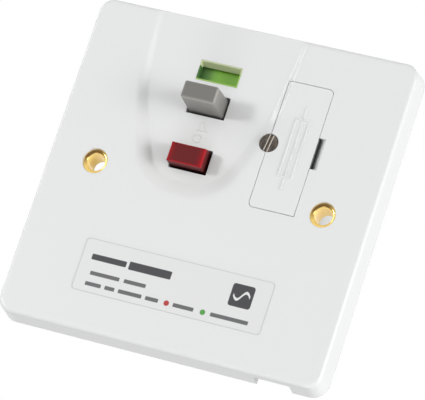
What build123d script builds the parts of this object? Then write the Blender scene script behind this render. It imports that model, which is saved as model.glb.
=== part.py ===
from build123d import *
import os
from math import atan, degrees, radians, tan

os.makedirs("parts", exist_ok=True)

# A fused connection unit with a residual-current trip, for a one-gang wall box.
# The wall is the plane y = 0, the plate faces -Y, +Z is up and +X is right.
# The row frame's origin is on the wall plane, midway between the two fixing holes.
# A level is a distance in front of the wall, and what lies behind the wall has a negative level.
# All sizes are millimetres.

# Plate
plate_size = 86.0
plate_depth = 7.2
plate_taper = 4.8
plate_corner = 4.2
plate_edge = 1.0
plate_skin = 2.4
plate_side = 2.2
inner_level = plate_depth - plate_skin

# Scooped tongue in the plate's face
scoop_x = -6.95
scoop_top_half = 20.4
scoop_waist_half = 19.2
scoop_waist_z = 21.0
scoop_foot_half = 10.9
scoop_bottom_z = -3.8
scoop_waist_radius = 40.0
scoop_bottom_radius = 12.5
scoop_top_depth = 0.4
scoop_depth = 1.6
scoop_wall_angle = 20.0
scoop_crease = 2.5
scoop_rim = 4.0
scoop_overrun = 5.0
pad_thickness = 1.7
pad_top_z = 12.6
pad_margin = 1.0

# Fixing holes and their brass eyelets
fixing_pitch = 60.3
eyelet_bore = 4.4
eyelet_wall = 0.45
eyelet_lip = 6.5
eyelet_lip_depth = 0.8
eyelet_mouth = 0.7
eyelet_clearance = 0.03
boss_wall = 1.9

# Earth strap behind the plate
strap_thickness = 0.8
strap_width = 3.0
strap_ring = 8.6
strap_drop = 12.0
collar_width = 0.75
collar_thickness = 0.6

# Push buttons and their openings
reset_z = 20.85
reset_opening_width = 10.2
reset_opening_height = 5.9
test_z = 6.4
test_opening_width = 10.0
test_opening_height = 6.4
button_gap = 0.45
sleeve_wall = 1.0
sleeve_level = 1.9
flange_lap = 1.15
flange_thickness = 1.0
flange_gap = 0.1
reset_height = 8.5
reset_face_width = 8.9
reset_face_height = 4.5
reset_travel = 4.0
test_height = 3.0
test_face_width = 9.1
test_face_height = 4.9
test_face_drop = 0.25
test_travel = 1.8
reset_edge = 0.6
test_edge = 0.45

# Indicator window, its green bezel and panel, and the red shutter
window_x = -6.75
window_z = 29.4
window_width = 11.1
window_height = 5.3
window_bevel = 1.2
bezel_wall = 0.35
bezel_clearance = 0.03
shutter_thickness = 0.9
shutter_gap = 0.2
shutter_lap = 0.6
shutter_travel = 5.9
shutter_arm_width = 0.8
shutter_arm_x = -14.0
arm_margin = 1.7
panel_thickness = 0.8
panel_leg = 1.0
peg_radius = 0.6
peg_clearance = 0.3

# Fuse carrier and its retaining screw
carrier_x = 17.35
carrier_z = 14.65
carrier_width = 11.9
carrier_height = 33.5
carrier_corner = 1.2
carrier_gap = 0.12
carrier_left = carrier_x - carrier_width / 2
carrier_right = carrier_x + carrier_width / 2
screw_head = 4.6
screw_head_thickness = 1.7
screw_head_sink = 0.1
screw_slot_width = 0.8
screw_slot_depth = 0.9
screw_slot_turn = 7.0
screw_shank = 2.5
screw_length = 10.6
screw_clearance = 0.06
ear_radius = 2.2
ear_thickness = 2.6
ear_clearance = 0.15
insert_wall = 0.7
insert_length = 8.0
post_wall = 1.0
notch_width = 1.85
notch_height = 8.2
notch_deep = 2.0
notch_shallow = 0.3

# Cartridge fuse
fuse_x = carrier_x + 1.25
fuse_level = -3.0
fuse_length = 25.4
fuse_cap = 6.35
fuse_body_diameter = 6.1
fuse_cap_length = 5.8
fuse_cap_wall = 0.3
fuse_clearance = 0.08

# Fuse drawer behind the carrier's face
drawer_width = 7.4
drawer_height = 30.0
drawer_block_level = 0.6
drawer_level = -7.0
saddle_height = 9.4
drawer_stop = 2.2

# Fuse clips
clip_width = 4.0
clip_thickness = 0.6
clip_gap = 0.35
clip_base_level = -9.0
clip_top_level = -0.5

# Rear housing
housing_back = 26.0
housing_front = 2.4
housing_skin = 1.6
housing_corner = 3.0
tunnel_room = 8.8
tunnel_left = fuse_x - tunnel_room / 2
tunnel_right = fuse_x + tunnel_room / 2
tunnel_wall = 1.2
tunnel_side = 2.2
housing_width = 2 * (tunnel_right + tunnel_side)
housing_inner_x = housing_width / 2 - housing_skin
tunnel_play = 0.3
tunnel_floor_level = -9.8
terminal_z = 28.0
terminal_height = 7.4
terminal_inset = 0.2
housing_height = 2 * (terminal_z + terminal_height / 2 + terminal_inset + housing_skin)
housing_inner_z = housing_height / 2 - housing_skin
tube_radius = 3.8
tube_x = housing_width / 2 - tube_radius - 0.4
tube_z = housing_height / 2 - tube_radius - 0.2
tube_inner_x = 6.6
tube_points = [(-tube_x, tube_z), (tube_inner_x, tube_z), (-tube_x, -tube_z), (tube_x, -tube_z)]

# Housing screws
fixing_screw = 2.8
fixing_screw_clearance = 0.2
fixing_screw_bite = 0.02
fixing_head = 5.2
fixing_head_thickness = 1.8
fixing_head_level = -16.0
fixing_tip_level = 3.4
plate_boss_radius = 3.0

# Deck that carries the reset mechanism
deck_level = -7.4
deck_thickness = 1.6
deck_bottom_z = 11.6
deck_top_z = 31.6
deck_left_x = -housing_inner_x + 0.3
deck_right_x = 12.7
pillar_size = 3.0
pillar_left_x = deck_left_x + 1.1
pillar_places = [(pillar_left_x, 13.1), (pillar_left_x, 23.6), (8.0, 23.2)]
seat_gap = 0.05

# Reset stem, spring, bridge and contacts
stem_width = 4.0
stem_height = 3.0
stem_level = -12.4
stem_notch_level = -5.6
stem_notch_height = 1.5
stem_notch_depth = 0.7
stem_clearance = 0.3
bridge_level = -10.4
bridge_thickness = 2.6
bridge_width = 17.6
bridge_top_z = 23.6
bridge_bottom_z = 9.6
contact_pitch = 13.0
contact_z = 14.6
contact_span = 11.0
contact_bar_width = 2.6
contact_bar_thickness = 0.8
contact_tip_radius = 1.2
contact_tip_height = 0.7
contact_gap = 0.05
riser_z = 4.0

# Springs: mean radius, wire and turns
reset_spring_radius = 3.1
reset_spring_turns = 5
test_spring_radius = 3.2
test_spring_turns = 5
latch_spring_radius = 2.4
latch_spring_turns = 5
spring_wire = 0.5
spring_gap = 0.05

# Circuit board
board_level = -9.0
board_thickness = 1.6
board_left_x = -housing_inner_x + 0.8
board_right_x = 12.6
board_bottom_z = -housing_inner_z + 0.7
board_top_z = 9.2
board_post_radius = 2.0
board_post_x = board_left_x + 2.8
board_posts = [(board_post_x, board_bottom_z + 10.7), (board_post_x, 7.5), (10.0, -8.0)]
stake_radius = 0.8
stake_height = 0.5

# Test contact
test_stem_radius = 1.5
test_stem_level = -4.5
test_disc_radius = 2.3
test_disc_thickness = 0.5
test_post_radius = 0.5
test_post_pitch = 2.6
test_post_gap = 0.05

# Trip solenoid
coil_x = -housing_inner_x + 5.6
coil_level = -3.4
coil_bottom_z = -10.0
coil_length = 15.0
bobbin_bore = 3.9
bobbin_wall = 0.6
bobbin_flange = 8.6
bobbin_flange_thickness = 1.0
winding_diameter = 8.0
yoke_thickness = 1.2
yoke_width = 7.0
plunger_diameter = 3.6
plunger_neck = 2.2
plunger_neck_z = 15.9
plunger_neck_length = 1.2
plunger_head = 1.4
trip_travel = 1.2

# Latch plate
latch_thickness = 1.0
latch_gap = 0.15
latch_left_x = coil_x - 2.2
latch_right_x = -3.4
latch_bottom_z = 16.0
latch_top_z = 25.0
latch_tab_width = 4.4
latch_window_half = 2.4
latch_nose_gap = 0.15

# Current sensor
sensor_x = 2.0
sensor_z = board_bottom_z + 12.2
sensor_radius = 8.2
sensor_bore = 4.4
sensor_core_inset = 0.9
sensor_height = 7.4
winding_sweep = 300.0
lead_width = 2.4
lead_thickness = 1.2
lead_pitch = 3.4
lead_front_level = 0.6
lead_corner = 1.0

# Small electronic parts
resistor_radius = 1.3
resistor_length = 7.0
disc_radius = 4.2
disc_thickness = 3.0
disc_x = board_left_x + 10.8
disc_z = board_bottom_z + 3.2
resistor_z = -3.5
chip_place = (board_left_x + 7.6, board_bottom_z + 11.2)
chip_length = 9.6
chip_width = 6.4
chip_height = 3.2
chip_lead = 0.5

# Terminals
terminal_width = 7.0
terminal_depth = 8.8
terminal_wire = 3.8
terminal_screw = 3.4
terminal_screw_gap = 0.05
terminal_head = 4.5
terminal_head_thickness = 1.6
terminal_wire_offset = 5.5
terminal_play = 0.15
pocket_wall = 0.9
pocket_depth = 7.0
wire_entry = 4.8
screw_access = 5.2
link_x = -7.0
link_width = 2.4
link_thickness = 0.8
link_turn_z = 22.9
link_ends = [(-10.5, -1), (-3.6, 1)]
supply_x = {"neutral": -13.0, "earth": -2.5, "live": 16.5}
load_x = {"neutral": -2.0, "earth": -12.0, "live": 11.0}

# Cord outlet and grip
cord_x = 30.0
cord_notch_width = 9.2
cord_notch_height = 4.4
cord_notch_corner = 0.6
grip_z = 6.5 - plate_size / 2
grip_pitch = 13.6
grip_boss_radius = 2.1
grip_level = 0.3
grip_width = 4.6
grip_thickness = 1.1
grip_arch = 3.5
grip_screw = 2.2
grip_screw_bite = 0.02
grip_screw_length = 5.0
grip_head = 4.0
grip_head_thickness = 1.4

# Label
label_x = -0.45
label_z = 16.8 - plate_size / 2
label_width = 49.7
label_height = 13.6
label_corner = 0.9
label_thickness = 0.1


def facing(level):
    return Plane.XZ.offset(level)


def finish(piece, label):
    piece.part.label = label
    export_step(piece.part, f"parts/{label}.step")


# Places worked out from the sizes above
fixing_points = [(-fixing_pitch / 2, 0), (fixing_pitch / 2, 0)]
scoop_tilt = (scoop_depth - scoop_top_depth) / (plate_size / 2 - scoop_bottom_z)
pad_level = plate_depth - scoop_depth - pad_thickness
strap_level = pad_level - seat_gap
collar_level = strap_level - strap_thickness
eyelet_tube = eyelet_bore / 2 + eyelet_wall
eyelet_front_level = plate_depth - eyelet_lip_depth
flange_level = sleeve_level - flange_gap
reset_shank_width = reset_opening_width - 2 * button_gap
reset_shank_height = reset_opening_height - 2 * button_gap
test_shank_width = test_opening_width - 2 * button_gap
test_shank_height = test_opening_height - 2 * button_gap
shutter_level = inner_level - shutter_gap
panel_level = shutter_level - shutter_thickness - shutter_gap
screw_seat_level = plate_depth - screw_head_sink - screw_head_thickness
ear_level = screw_seat_level - ear_clearance
post_level = ear_level - ear_thickness - ear_clearance
housing_floor_level = housing_skin - housing_back
deck_rear_level = deck_level - deck_thickness
contact_bar_level = bridge_level - bridge_thickness
contact_tip_level = contact_bar_level - contact_bar_thickness - contact_tip_height
fixed_tip_level = contact_tip_level - reset_travel - contact_gap
fixed_bar_level = fixed_tip_level - contact_tip_height
terminal_level = housing_floor_level + terminal_depth + terminal_play
clip_points = [
    carrier_z - fuse_length / 2 + fuse_cap_length / 2,
    carrier_z + fuse_length / 2 - fuse_cap_length / 2,
]


def scoop_depth_at(z):
    return scoop_depth - scoop_tilt * (z - scoop_bottom_z)


# Tongue outline at the plate's face, run out past the top edge
with BuildSketch() as scoop_outline:
    with BuildLine():
        tongue = FilletPolyline(
            (scoop_x - scoop_top_half, plate_size / 2 + scoop_overrun),
            (scoop_x - scoop_waist_half, scoop_waist_z),
            (scoop_x - scoop_foot_half, scoop_bottom_z),
            (scoop_x + scoop_foot_half, scoop_bottom_z),
            (scoop_x + scoop_waist_half, scoop_waist_z),
            (scoop_x + scoop_top_half, plate_size / 2 + scoop_overrun),
            radius=[scoop_waist_radius, scoop_bottom_radius, scoop_bottom_radius, scoop_waist_radius],
        )
        Line(tongue @ 1, tongue @ 0)
    make_face()

# Tongue outline at the foot of the sloping walls
scoop_drop = scoop_depth + 0.3
with BuildSketch() as scoop_foot_outline:
    add(scoop_outline.sketch)
    offset(amount=-scoop_drop / tan(radians(scoop_wall_angle)), kind=Kind.INTERSECTION)

# Space of the scoop: sloping walls down to a floor that rises towards the top edge
scoop_floor = Plane(
    origin=(scoop_x, scoop_depth - plate_depth, scoop_bottom_z),
    x_dir=(1, 0, 0),
    z_dir=(0, -1, -scoop_tilt),
)
rim_line = (facing(plate_depth) * scoop_outline.face()).outer_wire()
with BuildPart() as scoop:
    with BuildSketch(facing(plate_depth)):
        add(scoop_outline.sketch)
    with BuildSketch(facing(plate_depth - scoop_drop)):
        add(scoop_foot_outline.sketch)
    loft(ruled=True)
    split(bisect_by=scoop_floor, keep=Keep.TOP)
    # A slab in front of the face, so that both edges of the sloping walls can be rounded
    with BuildSketch(facing(plate_depth)):
        add(scoop_outline.sketch)
        offset(amount=scoop_overrun, kind=Kind.INTERSECTION)
    extrude(amount=scoop_overrun)
    split(bisect_by=Plane.XY.offset(plate_size / 2 + scoop_overrun / 2), keep=Keep.BOTTOM)
    floor_edges = scoop.faces().sort_by(Axis.Y)[-1].edges()
    fillet(floor_edges.filter_by(lambda edge: edge.center().Z < plate_size / 2), scoop_crease)
    fillet(scoop.edges().filter_by(lambda edge: rim_line.distance_to(edge.center()) < 0.001), scoop_rim)

# Fuse carrier outline, rounded at two opposite corners
with BuildSketch() as carrier_outline:
    with Locations((carrier_x, carrier_z)):
        Rectangle(carrier_width, carrier_height)
    fillet(
        [
            corner
            for corner in carrier_outline.vertices()
            if (corner.X - carrier_x) * (corner.Y - carrier_z) > 0
        ],
        carrier_corner,
    )

# Front plate: a hollow moulding, open at the wall
with BuildPart() as front_plate:
    with BuildSketch(facing(0)):
        RectangleRounded(plate_size, plate_size, plate_corner)
    extrude(amount=plate_depth, taper=plate_taper)
    fillet(front_plate.faces().sort_by(Axis.Y)[0].edges(), plate_edge)
    with BuildSketch(facing(0)):
        hollow = plate_size - 2 * plate_side
        RectangleRounded(hollow, hollow, plate_corner - plate_side / 2)
    extrude(amount=inner_level, taper=plate_taper, mode=Mode.SUBTRACT)
    # Thicker skin behind the deep end of the scoop
    with BuildSketch(facing(pad_level)):
        add(scoop_outline.sketch)
        offset(amount=pad_margin)
        with Locations((scoop_x, pad_top_z - plate_size / 2)):
            Rectangle(plate_size, plate_size, mode=Mode.INTERSECT)
    extrude(amount=plate_depth - pad_level - plate_edge)
    # Bosses round the fixing holes, for the housing screws and for the cord grip
    with BuildSketch(facing(pad_level)):
        with Locations(*fixing_points):
            Circle(eyelet_tube + boss_wall)
    extrude(amount=inner_level - pad_level)
    with BuildSketch(facing(housing_front + seat_gap)):
        with Locations(*tube_points):
            Circle(plate_boss_radius)
    extrude(amount=inner_level - housing_front - seat_gap)
    with BuildSketch(facing(grip_level)):
        with Locations((cord_x, grip_z)):
            with GridLocations(grip_pitch, 1, 2, 1):
                Circle(grip_boss_radius)
    extrude(amount=inner_level - grip_level)
    # Guide sleeves behind the button openings
    with BuildSketch(facing(sleeve_level)):
        with Locations((scoop_x, reset_z)):
            Rectangle(reset_opening_width + 2 * sleeve_wall, reset_opening_height + 2 * sleeve_wall)
        with Locations((scoop_x, test_z)):
            Rectangle(test_opening_width + 2 * sleeve_wall, test_opening_height + 2 * sleeve_wall)
    extrude(amount=inner_level - sleeve_level)
    add(scoop.part, mode=Mode.SUBTRACT)
    # Openings for the buttons and the fuse carrier
    with BuildSketch(facing(sleeve_level)):
        with Locations((scoop_x, reset_z)):
            Rectangle(reset_opening_width, reset_opening_height)
        with Locations((scoop_x, test_z)):
            Rectangle(test_opening_width, test_opening_height)
    extrude(amount=plate_depth, mode=Mode.SUBTRACT)
    with BuildSketch(facing(housing_front)):
        add(carrier_outline.sketch)
        offset(amount=carrier_gap)
        with Locations((carrier_left, carrier_z)):
            Circle(screw_head / 2 + ear_clearance)
    extrude(amount=plate_depth, mode=Mode.SUBTRACT)
    # Indicator window
    with BuildSketch(facing(shutter_level)):
        with Locations((window_x, window_z)):
            Rectangle(window_width, window_height)
    extrude(amount=plate_depth, mode=Mode.SUBTRACT)
    # Lever notch beside the carrier, with a sloping floor
    with BuildSketch(Plane.XY.offset(carrier_z)):
        with BuildLine():
            Polyline(
                (carrier_right - carrier_gap, -plate_depth),
                (carrier_right + notch_width, -plate_depth),
                (carrier_right + notch_width, -plate_depth + notch_shallow),
                (carrier_right, -plate_depth + notch_deep),
                (carrier_right - carrier_gap, -plate_depth + notch_deep),
                close=True,
            )
        make_face()
    extrude(amount=notch_height / 2, both=True, mode=Mode.SUBTRACT)
    # Fixing holes, screw holes and the cord outlet
    with BuildSketch(facing(0)):
        with Locations(*fixing_points):
            Circle(eyelet_tube + eyelet_clearance)
    extrude(amount=plate_depth, mode=Mode.SUBTRACT)
    with BuildSketch(facing(eyelet_front_level - eyelet_wall)):
        with Locations(*fixing_points):
            Circle(eyelet_lip / 2 + eyelet_clearance)
    extrude(amount=plate_depth, mode=Mode.SUBTRACT)
    with BuildSketch(facing(0)):
        with Locations(*tube_points):
            Circle(fixing_screw / 2 + fixing_screw_bite)
    extrude(amount=fixing_tip_level + seat_gap, mode=Mode.SUBTRACT)
    with BuildSketch(facing(0)):
        with Locations((cord_x, grip_z)):
            with GridLocations(grip_pitch, 1, 2, 1):
                Circle(grip_screw / 2 + grip_screw_bite)
    extrude(amount=grip_level + grip_screw_length - grip_thickness, mode=Mode.SUBTRACT)
    with BuildSketch(Plane.XY.offset(-plate_size / 2)):
        with Locations((cord_x, 0)):
            RectangleRounded(cord_notch_width, 2 * cord_notch_height, cord_notch_corner)
    extrude(amount=2 * plate_side, mode=Mode.SUBTRACT)
finish(front_plate, "front_plate")

# Brass eyelets: a flat lip, a rounded mouth, and a tube that reaches the wall
with BuildPart() as fixing_eyelets:
    for x, z in fixing_points:
        with BuildSketch(Plane.XY):
            with BuildLine():
                bore = Polyline(
                    (x + eyelet_tube, 0),
                    (x + eyelet_bore / 2, 0),
                    (x + eyelet_bore / 2, eyelet_mouth - eyelet_front_level),
                )
                mouth = JernArc(bore @ 1, bore % 1, eyelet_mouth, 90)
                Polyline(
                    mouth @ 1,
                    (x + eyelet_lip / 2, -eyelet_front_level),
                    (x + eyelet_lip / 2, eyelet_wall - eyelet_front_level),
                    (x + eyelet_tube, eyelet_wall - eyelet_front_level),
                    (x + eyelet_tube, 0),
                )
            make_face()
        revolve(axis=Axis((x, 0, z), (0, 1, 0)))
finish(fixing_eyelets, "fixing_eyelets")

# Clinched collars that hold the earth strap on the eyelets
with BuildPart() as eyelet_collars:
    with BuildSketch(facing(collar_level)):
        with Locations(*fixing_points):
            Circle(eyelet_tube + collar_width)
            Circle(eyelet_tube + eyelet_clearance, mode=Mode.SUBTRACT)
    extrude(amount=-collar_thickness)
finish(eyelet_collars, "eyelet_collars")

# Earth strap: a ring at each eyelet, a cranked strip below, and a leg to the earth terminal
with BuildPart() as earth_strap:
    with BuildSketch(facing(strap_level)):
        with Locations(*fixing_points):
            Circle(strap_ring / 2)
        with Locations((0, -strap_drop)):
            Rectangle(fixing_pitch, strap_width)
        for side in (-1, 1):
            with Locations((side * fixing_pitch / 2, -strap_drop / 2)):
                Rectangle(strap_width, strap_drop + strap_width)
        with Locations(*fixing_points):
            Circle(eyelet_tube + eyelet_clearance, mode=Mode.SUBTRACT)
    extrude(amount=-strap_thickness)
    leg_z = -strap_drop - strap_width / 2
    with BuildSketch(Plane.YZ.offset(load_x["earth"])):
        with BuildLine():
            Polyline(
                (-strap_level, leg_z + strap_thickness),
                (-strap_level, leg_z),
                (-terminal_level - strap_thickness, leg_z),
                (-terminal_level - strap_thickness, -terminal_z),
                (-terminal_level, -terminal_z),
                (-terminal_level, leg_z + strap_thickness),
                close=True,
            )
        make_face()
    extrude(amount=strap_width / 2, both=True)
finish(earth_strap, "earth_strap")

# Label on the face
with BuildPart() as rating_label:
    with BuildSketch(facing(plate_depth)):
        with Locations((label_x, label_z)):
            RectangleRounded(label_width, label_height, label_corner)
    extrude(amount=label_thickness)
finish(rating_label, "rating_label")

# Rear housing: an open box with the fuse tunnel, screw tubes, posts and terminal pockets
terminal_places = [(x, terminal_z) for x in supply_x.values()]
terminal_places += [(x, -terminal_z) for x in load_x.values()]
fixed_contact_places = [
    (scoop_x + side * contact_pitch / 2, contact_z + end * contact_span / 2)
    for side in (-1, 1)
    for end in (-1, 1)
]
tunnel_width = tunnel_right - tunnel_left
tunnel_x = (tunnel_left + tunnel_right) / 2
tunnel_height = drawer_height + 2 * tunnel_play
with BuildPart() as rear_housing:
    with BuildSketch(facing(-housing_back)):
        RectangleRounded(housing_width, housing_height, housing_corner)
    extrude(amount=housing_back + housing_front)
    with BuildSketch(facing(housing_floor_level)):
        RectangleRounded(
            housing_width - 2 * housing_skin,
            housing_height - 2 * housing_skin,
            housing_corner - housing_skin,
        )
    extrude(amount=housing_back + housing_front, mode=Mode.SUBTRACT)
    # Fuse tunnel, which the carrier's face rests on
    with BuildSketch(facing(tunnel_floor_level - tunnel_wall)):
        with Locations((tunnel_x, carrier_z)):
            Rectangle(tunnel_width + 2 * tunnel_wall, tunnel_height + 2 * tunnel_wall)
        Rectangle(housing_width, housing_height, mode=Mode.INTERSECT)
    extrude(amount=inner_level - seat_gap - tunnel_floor_level + tunnel_wall)
    with BuildSketch(facing(tunnel_floor_level)):
        with Locations((tunnel_x, carrier_z)):
            Rectangle(tunnel_width, tunnel_height)
    extrude(amount=housing_back, mode=Mode.SUBTRACT)
    with BuildSketch(facing(tunnel_floor_level - tunnel_wall)):
        with Locations((fuse_x, clip_points[0]), (fuse_x, clip_points[1])):
            Rectangle(clip_thickness + 2 * terminal_play, clip_width + 2 * terminal_play)
    extrude(amount=2 * tunnel_wall, mode=Mode.SUBTRACT)
    # Post for the carrier screw's insert
    with BuildSketch(facing(post_level - insert_length - post_wall)):
        with Locations((carrier_left, carrier_z)):
            Circle(screw_shank / 2 + screw_clearance + insert_wall + post_wall)
        with Locations((carrier_left + tunnel_wall, carrier_z)):
            Rectangle(2 * tunnel_wall, tunnel_wall)
        with Locations((tunnel_x, carrier_z)):
            Rectangle(tunnel_width, tunnel_height, mode=Mode.SUBTRACT)
    extrude(amount=insert_length + post_wall)
    with BuildSketch(facing(post_level - insert_length)):
        with Locations((carrier_left, carrier_z)):
            Circle(screw_shank / 2 + screw_clearance + insert_wall)
    extrude(amount=insert_length, mode=Mode.SUBTRACT)
    with BuildSketch(facing(post_level)):
        with Locations((carrier_left, carrier_z)):
            Rectangle(2 * tunnel_width, 2 * ear_radius + 2 * tunnel_play)
    extrude(amount=plate_depth, mode=Mode.SUBTRACT)
    # Screw tubes
    with BuildSketch(facing(housing_floor_level)):
        with Locations(*tube_points):
            Circle(tube_radius)
        Rectangle(housing_width, housing_height, mode=Mode.INTERSECT)
    extrude(amount=housing_front - housing_floor_level)
    with BuildSketch(facing(-housing_back)):
        with Locations(*tube_points):
            Circle(fixing_screw / 2 + fixing_screw_clearance)
    extrude(amount=housing_back + housing_front, mode=Mode.SUBTRACT)
    with BuildSketch(facing(-housing_back)):
        with Locations(*tube_points):
            Circle(fixing_head / 2 + fixing_screw_clearance)
    extrude(amount=housing_back + fixing_head_level, mode=Mode.SUBTRACT)
    # Pillars under the deck, the board and the fixed contacts
    with BuildSketch(facing(housing_floor_level)):
        with Locations(*pillar_places):
            Rectangle(pillar_size, pillar_size)
    extrude(amount=deck_rear_level - seat_gap - housing_floor_level)
    with BuildSketch(facing(housing_floor_level)):
        with Locations(*board_posts):
            Circle(board_post_radius)
    extrude(amount=board_level - board_thickness - seat_gap - housing_floor_level)
    with BuildSketch(facing(deck_rear_level - seat_gap)):
        with Locations(*pillar_places):
            Circle(stake_radius)
    extrude(amount=deck_thickness + stake_height)
    with BuildSketch(facing(board_level - board_thickness - seat_gap)):
        with Locations(*board_posts):
            Circle(stake_radius)
    extrude(amount=board_thickness + stake_height)
    with BuildSketch(facing(housing_floor_level)):
        with Locations(*fixed_contact_places):
            Rectangle(contact_bar_width, contact_bar_width)
    extrude(amount=fixed_bar_level - contact_bar_thickness - housing_floor_level)
    # Terminal pockets with their wire entries and screw holes
    with BuildSketch(facing(housing_floor_level)):
        with Locations(*terminal_places):
            Rectangle(
                terminal_width + 2 * terminal_play + 2 * pocket_wall,
                terminal_height + 2 * terminal_inset + 2 * pocket_wall,
            )
            Rectangle(
                terminal_width + 2 * terminal_play,
                terminal_height + 2 * terminal_inset,
                mode=Mode.SUBTRACT,
            )
        Rectangle(housing_width, housing_height, mode=Mode.INTERSECT)
    extrude(amount=pocket_depth)
    with BuildSketch(facing(fixed_bar_level - contact_bar_thickness - seat_gap)):
        with Locations((scoop_x - contact_pitch / 2, terminal_z - terminal_height / 2)):
            Rectangle(contact_bar_width + 2 * terminal_play, 4 * pocket_wall)
    extrude(amount=housing_back, mode=Mode.SUBTRACT)
    with BuildSketch(facing(housing_floor_level)):
        for x, side in link_ends:
            with Locations((x, side * (terminal_z - terminal_height / 2))):
                Rectangle(link_width + 2 * terminal_play, 4 * pocket_wall)
    extrude(amount=link_thickness + 2 * seat_gap, mode=Mode.SUBTRACT)
    with BuildSketch(facing(-housing_back)):
        with Locations(*terminal_places):
            Circle(screw_access / 2)
    extrude(amount=2 * housing_skin, mode=Mode.SUBTRACT)
    for side, row in ((1, supply_x), (-1, load_x)):
        with BuildSketch(Plane.XY.offset(side * housing_height / 2)):
            with Locations(*[(x, -terminal_level + terminal_wire_offset) for x in row.values()]):
                Circle(wire_entry / 2)
        extrude(amount=-side * (terminal_height + 2 * housing_skin), mode=Mode.SUBTRACT)
finish(rear_housing, "rear_housing")

# Screws that hold the housing to the plate
with BuildPart() as housing_screws:
    with BuildSketch(facing(fixing_head_level)):
        with Locations(*tube_points):
            Circle(fixing_head / 2)
    extrude(amount=-fixing_head_thickness)
    with BuildSketch(facing(fixing_head_level)):
        with Locations(*tube_points):
            Circle(fixing_screw / 2)
    extrude(amount=fixing_tip_level - fixing_head_level)
finish(housing_screws, "housing_screws")

# Reset button: tapered cap, stop flange, latch stem and the peg that drives the shutter
reset_floor_level = plate_depth - scoop_depth_at(reset_z)
reset_face_level = plate_depth + reset_height
with BuildPart() as reset_button:
    with BuildSketch(facing(flange_level)):
        with Locations((scoop_x, reset_z)):
            Rectangle(reset_shank_width, reset_shank_height)
    extrude(amount=reset_floor_level - flange_level)
    with BuildSketch(facing(reset_floor_level)):
        with Locations((scoop_x, reset_z)):
            Rectangle(reset_shank_width, reset_shank_height)
    with BuildSketch(facing(reset_face_level)):
        with Locations((scoop_x, reset_z)):
            Rectangle(reset_face_width, reset_face_height)
    loft(ruled=True)
    cap_face = reset_button.faces().sort_by(Axis.Y)[0]
    slanted = reset_button.edges().filter_by(
        lambda edge: edge.center().Y < -reset_floor_level and edge not in cap_face.edges()
    )
    fillet(slanted.filter_by(lambda edge: edge.length > reset_height), reset_edge)
    fillet(reset_button.faces().sort_by(Axis.Y)[0].edges(), reset_edge)
    with BuildSketch(facing(flange_level - flange_thickness)):
        with Locations((scoop_x, reset_z)):
            Rectangle(reset_opening_width + 2 * flange_lap - 2 * button_gap, reset_opening_height + flange_lap)
    extrude(amount=flange_thickness)
    with BuildSketch(facing(stem_level)):
        with Locations((scoop_x, reset_z)):
            Rectangle(stem_width, stem_height)
    extrude(amount=flange_level - stem_level)
    with BuildSketch(Plane.YZ.offset(scoop_x)):
        with Locations((-stem_notch_level, reset_z - stem_height / 2)):
            Rectangle(stem_notch_height, 2 * stem_notch_depth)
    extrude(amount=stem_width, both=True, mode=Mode.SUBTRACT)
    with BuildSketch(Plane.YZ.offset(scoop_x)):
        with Locations((peg_radius - flange_level, reset_z)):
            Circle(peg_radius)
    extrude(amount=shutter_arm_x - peg_clearance - scoop_x)
finish(reset_button, "reset_button")

# Test button: low cap, stop flange and a round stem
test_floor_level = plate_depth - scoop_depth_at(test_z)
with BuildPart() as test_button:
    with BuildSketch(facing(flange_level)):
        with Locations((scoop_x, test_z)):
            Rectangle(test_shank_width, test_shank_height)
    extrude(amount=test_floor_level - flange_level)
    with BuildSketch(facing(test_floor_level)):
        with Locations((scoop_x, test_z)):
            Rectangle(test_shank_width, test_shank_height)
    with BuildSketch(facing(plate_depth + test_height)):
        with Locations((scoop_x, test_z - test_face_drop)):
            Rectangle(test_face_width, test_face_height)
    loft(ruled=True)
    fillet(test_button.faces().sort_by(Axis.Y)[0].edges(), test_edge)
    with BuildSketch(facing(flange_level - flange_thickness)):
        with Locations((scoop_x, test_z)):
            Rectangle(test_opening_width + 2 * flange_lap - 2 * button_gap, test_opening_height + flange_lap)
    extrude(amount=flange_thickness)
    with BuildSketch(facing(test_stem_level)):
        with Locations((scoop_x, test_z)):
            Circle(test_stem_radius)
    extrude(amount=flange_level - test_stem_level)
finish(test_button, "test_button")

# Contact disc on the end of the test stem
with BuildPart() as test_contact:
    with BuildSketch(facing(test_stem_level)):
        with Locations((scoop_x, test_z)):
            Circle(test_disc_radius)
    extrude(amount=-test_disc_thickness)
finish(test_contact, "test_contact")

# Posts that the disc joins when the test button is pressed
with BuildPart() as test_posts:
    test_post_level = test_stem_level - test_disc_thickness - test_travel - test_post_gap
    with BuildSketch(facing(board_level)):
        with Locations((scoop_x, test_z)):
            with GridLocations(test_post_pitch, 1, 2, 1):
                Circle(test_post_radius)
    extrude(amount=test_post_level - board_level)
finish(test_posts, "test_posts")


# Coil spring with six-sided wire, from one point towards another
def coil_spring(start, direction, length, radius, turns):
    reach = length - spring_wire
    with BuildPart() as spring:
        with BuildLine() as coil:
            Helix(reach / turns, reach, radius, center=start, direction=direction)
        with BuildSketch(Plane(origin=coil.line @ 0, z_dir=coil.line % 0)):
            RegularPolygon(spring_wire / 2, 6)
        sweep(is_frenet=True)
    return spring


reset_spring_room = flange_level - flange_thickness - deck_level - 2 * spring_gap
reset_spring = coil_spring(
    (scoop_x, -deck_level - spring_gap - spring_wire / 2, reset_z),
    (0, -1, 0),
    reset_spring_room,
    reset_spring_radius,
    reset_spring_turns,
)
finish(reset_spring, "reset_spring")

test_spring_room = flange_level - flange_thickness - board_level - 2 * spring_gap
test_spring = coil_spring(
    (scoop_x, -board_level - spring_gap - spring_wire / 2, test_z),
    (0, -1, 0),
    test_spring_room,
    test_spring_radius,
    test_spring_turns,
)
finish(test_spring, "test_spring")

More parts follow.
